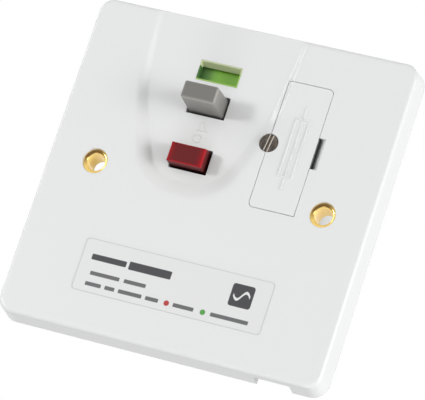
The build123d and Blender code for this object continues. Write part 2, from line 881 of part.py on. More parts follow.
# Green bezel that lines the window, with a sloping upper wall
with BuildPart() as indicator_bezel:
    with BuildSketch(facing(inner_level)):
        with Locations((window_x, window_z)):
            Rectangle(window_width - 2 * bezel_clearance, window_height - 2 * bezel_clearance)
    extrude(amount=plate_skin)
    add(scoop.part, mode=Mode.SUBTRACT)
    with BuildSketch(Plane.YZ.offset(window_x)):
        with BuildLine():
            Polyline(
                (-inner_level, window_z - window_height / 2 + bezel_wall),
                (-plate_depth, window_z - window_height / 2 + bezel_wall),
                (-plate_depth, window_z + window_height / 2 - bezel_wall),
                (-plate_depth + scoop_depth_at(window_z), window_z + window_height / 2 - bezel_wall),
                (-inner_level, window_z + window_height / 2 - window_bevel),
                close=True,
            )
        make_face()
    extrude(amount=window_width / 2 - bezel_wall, both=True, mode=Mode.SUBTRACT)
finish(indicator_bezel, "indicator_bezel")

# Red shutter: a flat blade above the window and an arm with a sloping slot round the peg
window_top_z = window_z + window_height / 2
blade_bottom_z = window_top_z + shutter_lap / 2
blade_left = shutter_arm_x
blade_right = window_x + window_width / 2 + shutter_lap
peg_level = flange_level - peg_radius
with BuildPart() as indicator_shutter:
    with BuildSketch(facing(shutter_level)):
        with Locations((blade_left, blade_bottom_z)):
            Rectangle(
                blade_right - blade_left,
                window_height + shutter_lap,
                align=(Align.MIN, Align.MIN),
            )
        with Locations((blade_left, reset_z - arm_margin)):
            Rectangle(
                shutter_arm_width,
                blade_bottom_z - reset_z + 2 * arm_margin,
                align=(Align.MIN, Align.MIN),
            )
    extrude(amount=-shutter_thickness)
    with BuildSketch(Plane.YZ.offset(blade_left)):
        with BuildLine():
            arm_end_y = reset_travel - peg_level + arm_margin
            Polyline(
                (-shutter_level, reset_z - arm_margin),
                (peg_radius - peg_level, reset_z - arm_margin),
                (arm_end_y, reset_z + shutter_travel - peg_radius),
                (arm_end_y, reset_z + shutter_travel + arm_margin),
                (-shutter_level, reset_z + shutter_travel + arm_margin),
                close=True,
            )
        make_face()
    extrude(amount=shutter_arm_width)
    with BuildSketch(Plane.YZ.offset(blade_left)):
        slot_angle = degrees(atan(shutter_travel / reset_travel))
        slot_length = (shutter_travel**2 + reset_travel**2) ** 0.5
        with Locations((-peg_level + reset_travel / 2, reset_z + shutter_travel / 2)):
            SlotCenterToCenter(slot_length, 2 * (peg_radius + peg_clearance), rotation=slot_angle)
    extrude(amount=shutter_arm_width, mode=Mode.SUBTRACT)
finish(indicator_shutter, "indicator_shutter")

# Green panel on two legs that stand on the deck
with BuildPart() as indicator_panel:
    with BuildSketch(facing(panel_level)):
        with Locations((window_x, window_z)):
            Rectangle(window_width + 2 * shutter_lap, window_height)
    extrude(amount=-panel_thickness)
    with BuildSketch(facing(deck_level + seat_gap)):
        with Locations((window_x, window_z)):
            with GridLocations(window_width + 2 * shutter_lap - panel_leg, 1, 2, 1):
                Rectangle(panel_leg, window_height - 2 * shutter_lap)
    extrude(amount=panel_level - panel_thickness - deck_level - seat_gap)
finish(indicator_panel, "indicator_panel")

# Fuse carrier: the face, a hollow block, a saddle, end stops and the ear for its screw
with BuildPart() as fuse_carrier:
    with BuildSketch(facing(inner_level)):
        add(carrier_outline.sketch)
    extrude(amount=plate_skin)
    with BuildSketch(facing(ear_level - ear_thickness)):
        with Locations((carrier_left, carrier_z)):
            Circle(ear_radius)
        with Locations((carrier_left, carrier_z)):
            Rectangle(fuse_x - carrier_left, 2 * ear_radius, align=(Align.MIN, Align.CENTER))
    extrude(amount=ear_thickness)
    with BuildSketch(facing(drawer_block_level)):
        with Locations((fuse_x, carrier_z)):
            Rectangle(drawer_width, drawer_height)
    extrude(amount=inner_level - drawer_block_level)
    with BuildSketch(facing(drawer_level)):
        with Locations((fuse_x, carrier_z)):
            Rectangle(drawer_width, saddle_height)
            with GridLocations(1, drawer_height - drawer_stop, 1, 2):
                Rectangle(drawer_width, drawer_stop)
    extrude(amount=drawer_block_level - drawer_level)
    with BuildSketch(Plane.XY.offset(carrier_z)):
        with Locations((fuse_x, -fuse_level)):
            Circle(fuse_cap / 2 + fuse_clearance)
        with Locations((fuse_x, -fuse_level)):
            Rectangle(fuse_cap - 2 * fuse_clearance, housing_back, align=(Align.CENTER, Align.MIN))
    extrude(amount=fuse_length / 2 + fuse_clearance, both=True, mode=Mode.SUBTRACT)
    add(scoop.part, mode=Mode.SUBTRACT)
    with BuildSketch(facing(ear_level)):
        with Locations((carrier_left, carrier_z)):
            Circle(screw_head / 2 + ear_clearance)
    extrude(amount=plate_skin, mode=Mode.SUBTRACT)
    with BuildSketch(facing(ear_level - ear_thickness)):
        with Locations((carrier_left, carrier_z)):
            Circle(screw_shank / 2 + screw_clearance)
    extrude(amount=plate_depth, mode=Mode.SUBTRACT)
finish(fuse_carrier, "fuse_carrier")

# Retaining screw with a slotted head, held in the carrier's ear
with BuildPart() as carrier_screw:
    with BuildSketch(facing(screw_seat_level)):
        with Locations((carrier_left, carrier_z)):
            Circle(screw_head / 2)
    extrude(amount=screw_head_thickness)
    with BuildSketch(facing(screw_seat_level)):
        with Locations((carrier_left, carrier_z)):
            Circle(screw_shank / 2)
    extrude(amount=-screw_length)
    chamfer(carrier_screw.faces().sort_by(Axis.Y)[-1].edges(), screw_shank / 6)
    with BuildSketch(facing(screw_seat_level + screw_head_thickness)):
        with Locations((carrier_left, carrier_z)):
            Rectangle(screw_slot_width, 2 * screw_head, rotation=-screw_slot_turn)
    extrude(amount=-screw_slot_depth, mode=Mode.SUBTRACT)
finish(carrier_screw, "carrier_screw")

# Brass insert that the screw engages
with BuildPart() as screw_insert:
    with BuildSketch(facing(post_level)):
        with Locations((carrier_left, carrier_z)):
            Circle(screw_shank / 2 + screw_clearance + insert_wall)
            Circle(screw_shank / 2 + screw_clearance, mode=Mode.SUBTRACT)
    extrude(amount=-insert_length)
finish(screw_insert, "screw_insert")

# Cartridge fuse: a ceramic barrel and two brass end caps
with BuildPart() as fuse_barrel:
    with BuildSketch(Plane.XY.offset(carrier_z)):
        with Locations((fuse_x, -fuse_level)):
            Circle(fuse_body_diameter / 2)
    extrude(amount=fuse_length / 2 - fuse_cap_wall, both=True)
    with BuildSketch(Plane.XY.offset(carrier_z)):
        with Locations((fuse_x, -fuse_level)):
            Circle(fuse_body_diameter / 2)
            Circle(fuse_cap / 2 - fuse_cap_wall, mode=Mode.SUBTRACT)
    for end in (-1, 1):
        with BuildSketch(Plane.XY.offset(carrier_z + end * (fuse_length / 2 - fuse_cap_length))):
            with Locations((fuse_x, -fuse_level)):
                Circle(fuse_cap)
                Circle(fuse_cap / 2 - fuse_cap_wall, mode=Mode.SUBTRACT)
        extrude(amount=end * fuse_cap_length, mode=Mode.SUBTRACT)
finish(fuse_barrel, "fuse_barrel")

with BuildPart() as fuse_caps:
    for end in (-1, 1):
        with BuildSketch(Plane.XY.offset(carrier_z + end * (fuse_length / 2 - fuse_cap_length))):
            with Locations((fuse_x, -fuse_level)):
                Circle(fuse_cap / 2)
        extrude(amount=end * fuse_cap_length)
        with BuildSketch(Plane.XY.offset(carrier_z + end * (fuse_length / 2 - fuse_cap_length))):
            with Locations((fuse_x, -fuse_level)):
                Circle(fuse_cap / 2 - fuse_cap_wall)
        extrude(amount=end * (fuse_cap_length - fuse_cap_wall), mode=Mode.SUBTRACT)
finish(fuse_caps, "fuse_caps")


# Fuse clip: two prongs either side of a cap, on a base with a tail through the tunnel floor
def fuse_clip(z, tail_level):
    prong = fuse_cap / 2 + clip_gap
    with BuildPart() as clip:
        with BuildSketch(Plane.XY.offset(z)):
            with BuildLine():
                Polyline(
                    (fuse_x - prong - clip_thickness, -clip_top_level),
                    (fuse_x - prong, -clip_top_level),
                    (fuse_x - prong, -clip_base_level),
                    (fuse_x + prong, -clip_base_level),
                    (fuse_x + prong, -clip_top_level),
                    (fuse_x + prong + clip_thickness, -clip_top_level),
                    (fuse_x + prong + clip_thickness, -clip_base_level + clip_thickness),
                    (fuse_x + clip_thickness / 2, -clip_base_level + clip_thickness),
                    (fuse_x + clip_thickness / 2, -tail_level),
                    (fuse_x - clip_thickness / 2, -tail_level),
                    (fuse_x - clip_thickness / 2, -clip_base_level + clip_thickness),
                    (fuse_x - prong - clip_thickness, -clip_base_level + clip_thickness),
                    close=True,
                )
            make_face()
        extrude(amount=clip_width / 2, both=True)
    return clip


fuse_clip_supply = fuse_clip(clip_points[1], terminal_level)
finish(fuse_clip_supply, "fuse_clip_supply")
fuse_clip_load = fuse_clip(clip_points[0], fixed_bar_level - contact_bar_thickness)
finish(fuse_clip_load, "fuse_clip_load")

# Deck with the stem's hole, a slot for the latch tab and notches for the screw tube and post
with BuildPart() as mechanism_deck:
    with BuildSketch(facing(deck_rear_level)):
        with Locations((deck_left_x, deck_bottom_z)):
            Rectangle(
                deck_right_x - deck_left_x,
                deck_top_z - deck_bottom_z,
                align=(Align.MIN, Align.MIN),
            )
        with Locations((scoop_x, reset_z)):
            Rectangle(
                stem_width + 2 * stem_clearance,
                stem_height + 2 * stem_clearance,
                mode=Mode.SUBTRACT,
            )
        with Locations((coil_x, latch_bottom_z)):
            Rectangle(
                latch_tab_width + 2 * stem_clearance,
                2 * (trip_travel + latch_thickness + 2 * stem_clearance),
                mode=Mode.SUBTRACT,
            )
        with Locations(*tube_points):
            Circle(tube_radius + tunnel_play, mode=Mode.SUBTRACT)
        with Locations((deck_right_x, carrier_z)):
            Rectangle(
                2 * (deck_right_x - carrier_left + screw_shank + post_wall),
                2 * (screw_shank + post_wall),
                mode=Mode.SUBTRACT,
            )
        with Locations((tube_inner_x, tube_z - tube_radius - tunnel_play)):
            Rectangle(
                deck_right_x,
                deck_top_z,
                align=(Align.MIN, Align.MIN),
                mode=Mode.SUBTRACT,
            )
        with Locations(*pillar_places):
            Circle(stake_radius + seat_gap, mode=Mode.SUBTRACT)
    extrude(amount=deck_thickness)
    with BuildSketch(facing(deck_level)):
        with Locations((scoop_x, reset_z)):
            Circle(reset_spring_radius - spring_wire)
            Rectangle(
                stem_width + 2 * stem_clearance,
                stem_height + 2 * stem_clearance,
                mode=Mode.SUBTRACT,
            )
    extrude(amount=spring_wire)
finish(mechanism_deck, "mechanism_deck")

# Insulating bridge on the end of the reset stem
with BuildPart() as contact_bridge:
    bridge_z = (bridge_top_z + bridge_bottom_z) / 2
    with BuildSketch(facing(bridge_level)):
        with Locations((scoop_x, bridge_z)):
            RectangleRounded(bridge_width, bridge_top_z - bridge_bottom_z, stem_clearance)
        with Locations((scoop_x, reset_z)):
            Rectangle(stem_width, stem_height, mode=Mode.SUBTRACT)
    extrude(amount=-bridge_thickness)
finish(contact_bridge, "contact_bridge")


# Moving contact: a bar under the bridge with a tip at each end
def moving_contact(side):
    x = scoop_x + side * contact_pitch / 2
    with BuildPart() as contact:
        with BuildSketch(facing(contact_bar_level)):
            with Locations((x, contact_z)):
                SlotCenterToCenter(contact_span, contact_bar_width, rotation=90)
        extrude(amount=-contact_bar_thickness)
        with BuildSketch(facing(contact_bar_level - contact_bar_thickness)):
            with Locations((x, contact_z)):
                with GridLocations(1, contact_span, 1, 2):
                    Circle(contact_tip_radius)
        extrude(amount=-contact_tip_height)
    return contact


moving_contact_neutral = moving_contact(-1)
finish(moving_contact_neutral, "moving_contact_neutral")
moving_contact_live = moving_contact(1)
finish(moving_contact_live, "moving_contact_live")


# Fixed contact: a strip on a housing post with one tip, run on to what it feeds
def fixed_contact(side, end, strips):
    x = scoop_x + side * contact_pitch / 2
    z = contact_z + end * contact_span / 2
    with BuildPart() as contact:
        with BuildSketch(facing(fixed_bar_level)):
            for left, right, low, high in strips:
                with Locations(((left + right) / 2, (low + high) / 2)):
                    Rectangle(right - left, high - low)
        extrude(amount=-contact_bar_thickness)
        with BuildSketch(facing(fixed_bar_level)):
            with Locations((x, z)):
                Circle(contact_tip_radius)
        extrude(amount=contact_tip_height)
        if end < 0:
            with BuildSketch(facing(fixed_bar_level)):
                with Locations((x, riser_z)):
                    Rectangle(contact_bar_width, contact_bar_thickness)
            extrude(amount=board_level - fixed_bar_level)
    return contact


half_bar = contact_bar_width / 2
neutral_x = scoop_x - contact_pitch / 2
live_x = scoop_x + contact_pitch / 2
upper_z = contact_z + contact_span / 2
lower_z = contact_z - contact_span / 2
riser_low_z = riser_z - contact_bar_thickness / 2
terminal_face_z = terminal_z - terminal_height / 2 - seat_gap
clip_tail_x = fuse_x - clip_thickness / 2 - seat_gap
clip_tail_z = clip_points[0] - clip_width / 2
neutral_in_strips = [(neutral_x - half_bar, neutral_x + half_bar, upper_z - half_bar, terminal_face_z)]
neutral_out_strips = [(neutral_x - half_bar, neutral_x + half_bar, riser_low_z, lower_z + half_bar)]
live_out_strips = [(live_x - half_bar, live_x + half_bar, riser_low_z, lower_z + half_bar)]
live_in_strips = [
    (live_x - half_bar, clip_tail_x, upper_z - half_bar, upper_z + half_bar),
    (clip_tail_x - contact_bar_width, clip_tail_x, clip_tail_z, upper_z + half_bar),
]
for name, side, end, strips in (
    ("fixed_contact_neutral_in", -1, 1, neutral_in_strips),
    ("fixed_contact_neutral_out", -1, -1, neutral_out_strips),
    ("fixed_contact_live_in", 1, 1, live_in_strips),
    ("fixed_contact_live_out", 1, -1, live_out_strips),
):
    finish(fixed_contact(side, end, strips), name)

# Earth link on the housing floor, between the two earth terminals
with BuildPart() as earth_link:
    with BuildSketch(facing(housing_floor_level + seat_gap)):
        with Locations((link_x, 0)):
            Rectangle(link_width, 2 * link_turn_z)
        for x, side in link_ends:
            with Locations(((x + link_x) / 2, side * (link_turn_z - link_width / 2))):
                Rectangle(abs(x - link_x) + link_width, link_width)
            with Locations((x, side * (link_turn_z - link_width / 2 + terminal_face_z) / 2)):
                Rectangle(link_width, terminal_face_z - link_turn_z + link_width / 2)
    extrude(amount=link_thickness)
finish(earth_link, "earth_link")

# Circuit board, cut round the screw tubes, the earth leg and the sensor's bore
with BuildPart() as circuit_board:
    with BuildSketch(facing(board_level)):
        with Locations((board_left_x, board_bottom_z)):
            Rectangle(
                board_right_x - board_left_x,
                board_top_z - board_bottom_z,
                align=(Align.MIN, Align.MIN),
            )
        with Locations(*tube_points):
            Circle(tube_radius + tunnel_play, mode=Mode.SUBTRACT)
        with Locations((load_x["earth"], -strap_drop - strap_width / 2 + strap_thickness / 2)):
            Rectangle(
                strap_width + 2 * stem_clearance,
                strap_thickness + 2 * stem_clearance,
                mode=Mode.SUBTRACT,
            )
        with Locations((sensor_x, sensor_z)):
            Circle(sensor_bore, mode=Mode.SUBTRACT)
        with Locations(*[(x, riser_z) for x in (scoop_x - contact_pitch / 2, scoop_x + contact_pitch / 2)]):
            Rectangle(
                contact_bar_width + 2 * terminal_play,
                contact_bar_thickness + 2 * terminal_play,
                mode=Mode.SUBTRACT,
            )
        with Locations(*board_posts):
            Circle(stake_radius + seat_gap, mode=Mode.SUBTRACT)
    extrude(amount=-board_thickness)
finish(circuit_board, "circuit_board")

# Trip solenoid: bobbin, winding, steel yoke and plunger
coil_top_z = coil_bottom_z + coil_length
with BuildPart() as coil_bobbin:
    with BuildSketch(Plane.XY.offset(coil_bottom_z)):
        with Locations((coil_x, -coil_level)):
            Circle(bobbin_bore / 2 + bobbin_wall)
    extrude(amount=coil_length)
    for z, direction in ((coil_bottom_z, 1), (coil_top_z, -1)):
        with BuildSketch(Plane.XY.offset(z)):
            with Locations((coil_x, -coil_level)):
                Circle(bobbin_flange / 2)
        extrude(amount=direction * bobbin_flange_thickness)
    with BuildSketch(Plane.XY.offset(coil_bottom_z)):
        with Locations((coil_x, -coil_level)):
            Circle(bobbin_bore / 2)
    extrude(amount=coil_length, mode=Mode.SUBTRACT)
finish(coil_bobbin, "coil_bobbin")

with BuildPart() as coil_winding:
    with BuildSketch(Plane.XY.offset(coil_bottom_z + bobbin_flange_thickness)):
        with Locations((coil_x, -coil_level)):
            Circle(winding_diameter / 2)
            Circle(bobbin_bore / 2 + bobbin_wall, mode=Mode.SUBTRACT)
    extrude(amount=coil_length - 2 * bobbin_flange_thickness)
finish(coil_winding, "coil_winding")

with BuildPart() as coil_yoke:
    yoke_back_level = board_level + yoke_thickness
    yoke_front_level = coil_level + yoke_width / 2
    with BuildSketch(Plane.YZ.offset(coil_x)):
        with BuildLine():
            Polyline(
                (-yoke_front_level, coil_top_z),
                (-yoke_front_level, coil_top_z + yoke_thickness),
                (-board_level, coil_top_z + yoke_thickness),
                (-board_level, coil_bottom_z - yoke_thickness),
                (-yoke_front_level, coil_bottom_z - yoke_thickness),
                (-yoke_front_level, coil_bottom_z),
                (-yoke_back_level, coil_bottom_z),
                (-yoke_back_level, coil_top_z),
                close=True,
            )
        make_face()
    extrude(amount=yoke_width / 2, both=True)
    with BuildSketch(Plane.XY.offset(coil_bottom_z - yoke_thickness)):
        with Locations((coil_x, -coil_level)):
            Circle(bobbin_bore / 2)
    extrude(amount=coil_length + 2 * yoke_thickness, mode=Mode.SUBTRACT)
finish(coil_yoke, "coil_yoke")

with BuildPart() as coil_plunger:
    plunger_bottom_z = coil_bottom_z + trip_travel + bobbin_flange_thickness
    neck_top_z = plunger_neck_z + plunger_neck_length
    with BuildSketch(Plane.XY.offset(plunger_bottom_z)):
        with Locations((coil_x, -coil_level)):
            Circle(plunger_diameter / 2)
    extrude(amount=plunger_neck_z - plunger_bottom_z)
    with BuildSketch(Plane.XY.offset(plunger_neck_z)):
        with Locations((coil_x, -coil_level)):
            Circle(plunger_neck / 2)
    extrude(amount=plunger_neck_length)
    with BuildSketch(Plane.XY.offset(neck_top_z)):
        with Locations((coil_x, -coil_level)):
            Circle(plunger_diameter / 2)
    extrude(amount=plunger_head)
finish(coil_plunger, "coil_plunger")

# Latch plate with a window round the reset stem and a tab hooked on the plunger's neck
latch_level = deck_rear_level - latch_gap
with BuildPart() as latch_plate:
    with BuildSketch(facing(latch_level)):
        with Locations((latch_left_x, latch_bottom_z)):
            Rectangle(
                latch_right_x - latch_left_x,
                latch_top_z - latch_bottom_z,
                align=(Align.MIN, Align.MIN),
            )
        window_low_z = reset_z - stem_height / 2 - latch_nose_gap
        window_high_z = reset_z + stem_height / 2 + trip_travel + stem_clearance
        with Locations((scoop_x, window_low_z)):
            Rectangle(
                2 * latch_window_half,
                window_high_z - window_low_z,
                align=(Align.CENTER, Align.MIN),
                mode=Mode.SUBTRACT,
            )
    extrude(amount=-latch_thickness)
    with BuildSketch(Plane.XY.offset(latch_bottom_z)):
        with Locations((coil_x, -latch_level)):
            Rectangle(
                latch_tab_width,
                coil_level + plunger_diameter / 2 - latch_level,
                align=(Align.CENTER, Align.MAX),
            )
        with Locations((coil_x, -coil_level)):
            Circle(plunger_neck / 2 + stem_clearance / 2, mode=Mode.SUBTRACT)
        with Locations((coil_x, -coil_level)):
            Rectangle(
                plunger_neck + stem_clearance,
                plunger_diameter,
                align=(Align.CENTER, Align.MAX),
                mode=Mode.SUBTRACT,
            )
    extrude(amount=latch_thickness)
finish(latch_plate, "latch_plate")

latch_spring_start = coil_top_z + yoke_thickness + spring_gap
latch_spring = coil_spring(
    (coil_x, -coil_level, latch_spring_start + spring_wire / 2),
    (0, 0, 1),
    latch_bottom_z - latch_spring_start - spring_gap,
    latch_spring_radius,
    latch_spring_turns,
)
finish(latch_spring, "latch_spring")

# Current sensor: ring core in an open wrap of winding, standing on the board
sensor_section = sensor_radius - sensor_bore
with BuildPart() as sensor_core:
    with BuildSketch(facing(board_level + sensor_core_inset)):
        with Locations((sensor_x, sensor_z)):
            Circle(sensor_radius - sensor_core_inset)
            Circle(sensor_bore + sensor_core_inset, mode=Mode.SUBTRACT)
    extrude(amount=sensor_height - 2 * sensor_core_inset)
finish(sensor_core, "sensor_core")

with BuildPart() as sensor_winding:
    with BuildSketch(Plane.XY.offset(sensor_z)):
        with Locations((sensor_x + sensor_bore + sensor_section / 2, -board_level - sensor_height / 2)):
            Rectangle(sensor_section, sensor_height)
            Rectangle(
                sensor_section - 2 * sensor_core_inset,
                sensor_height - 2 * sensor_core_inset,
                mode=Mode.SUBTRACT,
            )
    revolve(axis=Axis((sensor_x, 0, sensor_z), (0, 1, 0)), revolution_arc=winding_sweep)
finish(sensor_winding, "sensor_winding")


# Primary lead: one flat bar bent through the sensor's bore and on to a load terminal
def primary_lead(side, terminal_x):
    x = sensor_x + side * lead_pitch / 2
    start_z = sensor_z + sensor_radius + lead_thickness + stem_clearance
    end_z = -terminal_z
    rear_level = terminal_level + seat_gap + lead_thickness / 2
    with BuildPart() as lead:
        with BuildLine(Plane.YZ.offset(x)) as route:
            FilletPolyline(
                (-board_level, start_z),
                (-lead_front_level, start_z),
                (-lead_front_level, sensor_z),
                (-rear_level, sensor_z),
                (-rear_level, end_z),
                radius=lead_corner,
            )
        with BuildSketch(Plane(origin=route.line @ 0, x_dir=(1, 0, 0), z_dir=route.line % 0)):
            Rectangle(lead_width, lead_thickness)
        sweep()
        with BuildSketch(facing(terminal_level + seat_gap)):
            with Locations(((x + terminal_x) / 2, end_z)):
                Rectangle(abs(terminal_x - x) + lead_width, lead_width)
        extrude(amount=lead_thickness)
    return lead


finish(primary_lead(-1, load_x["neutral"]), "primary_lead_neutral")
finish(primary_lead(1, load_x["live"]), "primary_lead_live")

# Small parts on the board
with BuildPart() as test_resistor:
    with BuildSketch(Plane.YZ.offset(scoop_x - resistor_length / 2)):
        with Locations((-board_level - resistor_radius, resistor_z)):
            Circle(resistor_radius)
    extrude(amount=resistor_length)
    fillet(test_resistor.edges().filter_by(GeomType.CIRCLE), resistor_radius / 3)
finish(test_resistor, "test_resistor")

with BuildPart() as surge_disc:
    with BuildSketch(Plane.XY.offset(disc_z)):
        with Locations((disc_x, -board_level - disc_radius)):
            Circle(disc_radius)
    extrude(amount=disc_thickness)
    fillet(surge_disc.edges().filter_by(GeomType.CIRCLE), disc_thickness / 4)
finish(surge_disc, "surge_disc")

with BuildPart() as control_chip:
    with BuildSketch(facing(board_level + chip_lead)):
        with Locations(chip_place):
            Rectangle(chip_width, chip_length)
    extrude(amount=chip_height)
    with BuildSketch(facing(board_level)):
        with Locations(chip_place):
            with GridLocations(chip_width - chip_lead, chip_length / 4, 2, 4):
                Rectangle(chip_lead, chip_lead)
    extrude(amount=chip_lead)
finish(control_chip, "control_chip")


# Terminal block: a brass block with a wire bore and a screw bore
def terminal(x, side):
    with BuildPart() as block:
        with BuildSketch(facing(terminal_level)):
            with Locations((x, side * terminal_z)):
                Rectangle(terminal_width, terminal_height)
        extrude(amount=-terminal_depth)
        with BuildSketch(facing(terminal_level - terminal_depth)):
            with Locations((x, side * terminal_z)):
                Circle(terminal_screw / 2 + terminal_screw_gap)
        extrude(amount=terminal_depth - terminal_wire_offset, mode=Mode.SUBTRACT)
        with BuildSketch(Plane.XY.offset(side * terminal_z)):
            with Locations((x, -terminal_level + terminal_wire_offset)):
                Circle(terminal_wire / 2)
        extrude(amount=terminal_height, both=True, mode=Mode.SUBTRACT)
    return block


for name, x in supply_x.items():
    finish(terminal(x, 1), f"terminal_supply_{name}")
for name, x in load_x.items():
    finish(terminal(x, -1), f"terminal_load_{name}")

# Terminal screws, reached from the back
with BuildPart() as terminal_screws:
    screw_tip_level = terminal_level - terminal_wire_offset - terminal_wire / 2 + terminal_screw_gap
    block_back_level = terminal_level - terminal_depth
    with BuildSketch(facing(block_back_level)):
        with Locations(*terminal_places):
            Circle(terminal_head / 2)
    extrude(amount=-terminal_head_thickness)
    with BuildSketch(facing(block_back_level)):
        with Locations(*terminal_places):
            Circle(terminal_screw / 2)
    extrude(amount=screw_tip_level - block_back_level)
finish(terminal_screws, "terminal_screws")

# Cord grip: an arched saddle on two bosses beside the cord outlet
with BuildPart() as cord_grip:
    with BuildSketch(Plane.XY.offset(grip_z)):
        with Locations((cord_x, -grip_level)):
            Rectangle(
                grip_pitch + 2 * grip_boss_radius,
                grip_thickness,
                align=(Align.CENTER, Align.MIN),
            )
            Circle(grip_arch + grip_thickness)
            Circle(grip_arch, mode=Mode.SUBTRACT)
            Rectangle(
                4 * grip_arch,
                4 * grip_arch,
                align=(Align.CENTER, Align.MAX),
                mode=Mode.SUBTRACT,
            )
    extrude(amount=grip_width / 2, both=True)
    with BuildSketch(facing(grip_level)):
        with Locations((cord_x, grip_z)):
            with GridLocations(grip_pitch, 1, 2, 1):
                Circle(grip_screw / 2 + grip_screw_bite)
    extrude(amount=-2 * grip_thickness, mode=Mode.SUBTRACT)
finish(cord_grip, "cord_grip")

with BuildPart() as grip_screws:
    with BuildSketch(facing(grip_level - grip_thickness)):
        with Locations((cord_x, grip_z)):
            with GridLocations(grip_pitch, 1, 2, 1):
                Circle(grip_head / 2)
    extrude(amount=-grip_head_thickness)
    with BuildSketch(facing(grip_level - grip_thickness)):
        with Locations((cord_x, grip_z)):
            with GridLocations(grip_pitch, 1, 2, 1):
                Circle(grip_screw / 2)
    extrude(amount=grip_screw_length - seat_gap)
finish(grip_screws, "grip_screws")
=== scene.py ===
import math

import bmesh
import bpy
from mathutils import Matrix, Vector


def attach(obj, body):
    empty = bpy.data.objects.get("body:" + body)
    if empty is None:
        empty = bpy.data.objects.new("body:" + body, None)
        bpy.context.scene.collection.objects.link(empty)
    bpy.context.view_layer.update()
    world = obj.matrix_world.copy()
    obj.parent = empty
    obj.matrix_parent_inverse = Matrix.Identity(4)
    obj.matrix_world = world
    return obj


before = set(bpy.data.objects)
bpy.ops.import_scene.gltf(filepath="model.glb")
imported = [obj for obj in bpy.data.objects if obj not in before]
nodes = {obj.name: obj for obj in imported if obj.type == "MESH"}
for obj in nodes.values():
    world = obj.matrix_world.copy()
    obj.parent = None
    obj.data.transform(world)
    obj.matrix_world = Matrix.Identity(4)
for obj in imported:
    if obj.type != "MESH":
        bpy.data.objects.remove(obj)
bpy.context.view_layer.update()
print("frame loaded:", len(nodes), "nodes")

camera = {
    "place": (0.24468, -0.71716, -0.20079),
    "right": (0.923815, 0.230077, 0.305990),
    "up": (-0.221291, -0.331301, 0.917208),
    "focalPixels": 3175.1,
    "imageWidth": 425,
    "sensorWidth": 36.0,
    "clipStart": 0.01,
}


def placeCamera():
    data = bpy.data.cameras.new("camera")
    seer = bpy.data.objects.new("camera", data)
    bpy.context.scene.collection.objects.link(seer)
    right = Vector(camera["right"]).normalized()
    up = Vector(camera["up"]).normalized()
    back = right.cross(up)
    turn = Matrix((right, up, back)).transposed().to_4x4()
    seer.matrix_world = Matrix.Translation(camera["place"]) @ turn
    data.sensor_fit = "HORIZONTAL"
    data.sensor_width = camera["sensorWidth"]
    data.lens = camera["focalPixels"] * camera["sensorWidth"] / camera["imageWidth"]
    data.clip_start = camera["clipStart"]
    bpy.context.scene.camera = seer


placeCamera()
print("camera done")

# A millimetre in metres, and the millimetres in a metre
mm = 0.001
perMetre = 1000.0

# Sizes of the part that the materials and the added pieces follow, in millimetres
part = {
    "faceLevel": 7.2,
    "scoopBottomZ": -3.8,
    "scoopDepth": 1.6,
    "scoopTilt": 1.2 / 46.8,
    "buttonX": -6.95,
    "carrierX": 17.35,
    "carrierZ": 14.65,
    "notchLeft": 23.3,
    "notchRight": 25.15,
    "screwX": 11.4,
    "screwTurn": 7.0,
    "eyeletX": 30.15,
    "resetZ": 20.85,
    "resetFace": (4.45, 2.25),
    "resetLevel": 15.7,
    "testZ": 6.15,
    "testFace": (4.55, 2.45),
    "testLevel": 10.2,
    "windowX": -6.75,
    "windowZ": 29.4,
    "labelX": -0.45,
    "labelZ": -26.2,
}


class Wire:
    # One output in a node tree, which can be used in sums like a number

    def __init__(self, graph, node, output=0):
        self.graph = graph
        self.node = node
        self.socket = node.outputs[output] if node.outputs else None

    def math(self, operation, *others):
        return self.graph.node("ShaderNodeMath", {"operation": operation}, [self, *others])

    def __add__(self, other):
        return self.math("ADD", other)

    __radd__ = __add__

    def __sub__(self, other):
        return self.math("SUBTRACT", other)

    def __rsub__(self, other):
        return self.graph.node("ShaderNodeMath", {"operation": "SUBTRACT"}, [other, self])

    def __mul__(self, other):
        return self.math("MULTIPLY", other)

    __rmul__ = __mul__

    def size(self):
        return self.math("ABSOLUTE")

    def high(self, other):
        return self.math("MAXIMUM", other)

    def step(self, low, high):
        # 0 at the first value and 1 at the second, which may be the lower one
        values = {"Value": self, "From Min": low, "From Max": high}
        return self.graph.node("ShaderNodeMapRange", {"clamp": True}, values)


class Graph:
    # A node tree, in which one method makes each node

    def __init__(self, tree):
        self.tree = tree
        self.tree.nodes.clear()

    def feed(self, socket, value):
        if isinstance(value, Wire):
            self.tree.links.new(value.socket, socket)
        elif isinstance(value, tuple) and len(value) == 3 and socket.type == "RGBA":
            socket.default_value = (*value, 1.0)
        else:
            socket.default_value = value

    def node(self, kind, settings=None, values=None, output=0):
        fresh = self.tree.nodes.new(kind)
        for key, value in (settings or {}).items():
            setattr(fresh, key, value)
        pairs = values.items() if isinstance(values, dict) else enumerate(values or [])
        for key, value in pairs:
            self.feed(fresh.inputs[key], value)
        return Wire(self, fresh, output)

    def surround(self):
        # 1 for rays that come from the camera, or by way of metal, gloss or glass
        rays = ("Is Camera Ray", "Is Glossy Ray", "Is Transmission Ray")
        straight, mirrored, through = [self.node("ShaderNodeLightPath", output=ray) for ray in rays]
        return straight.high(mirrored).high(through)


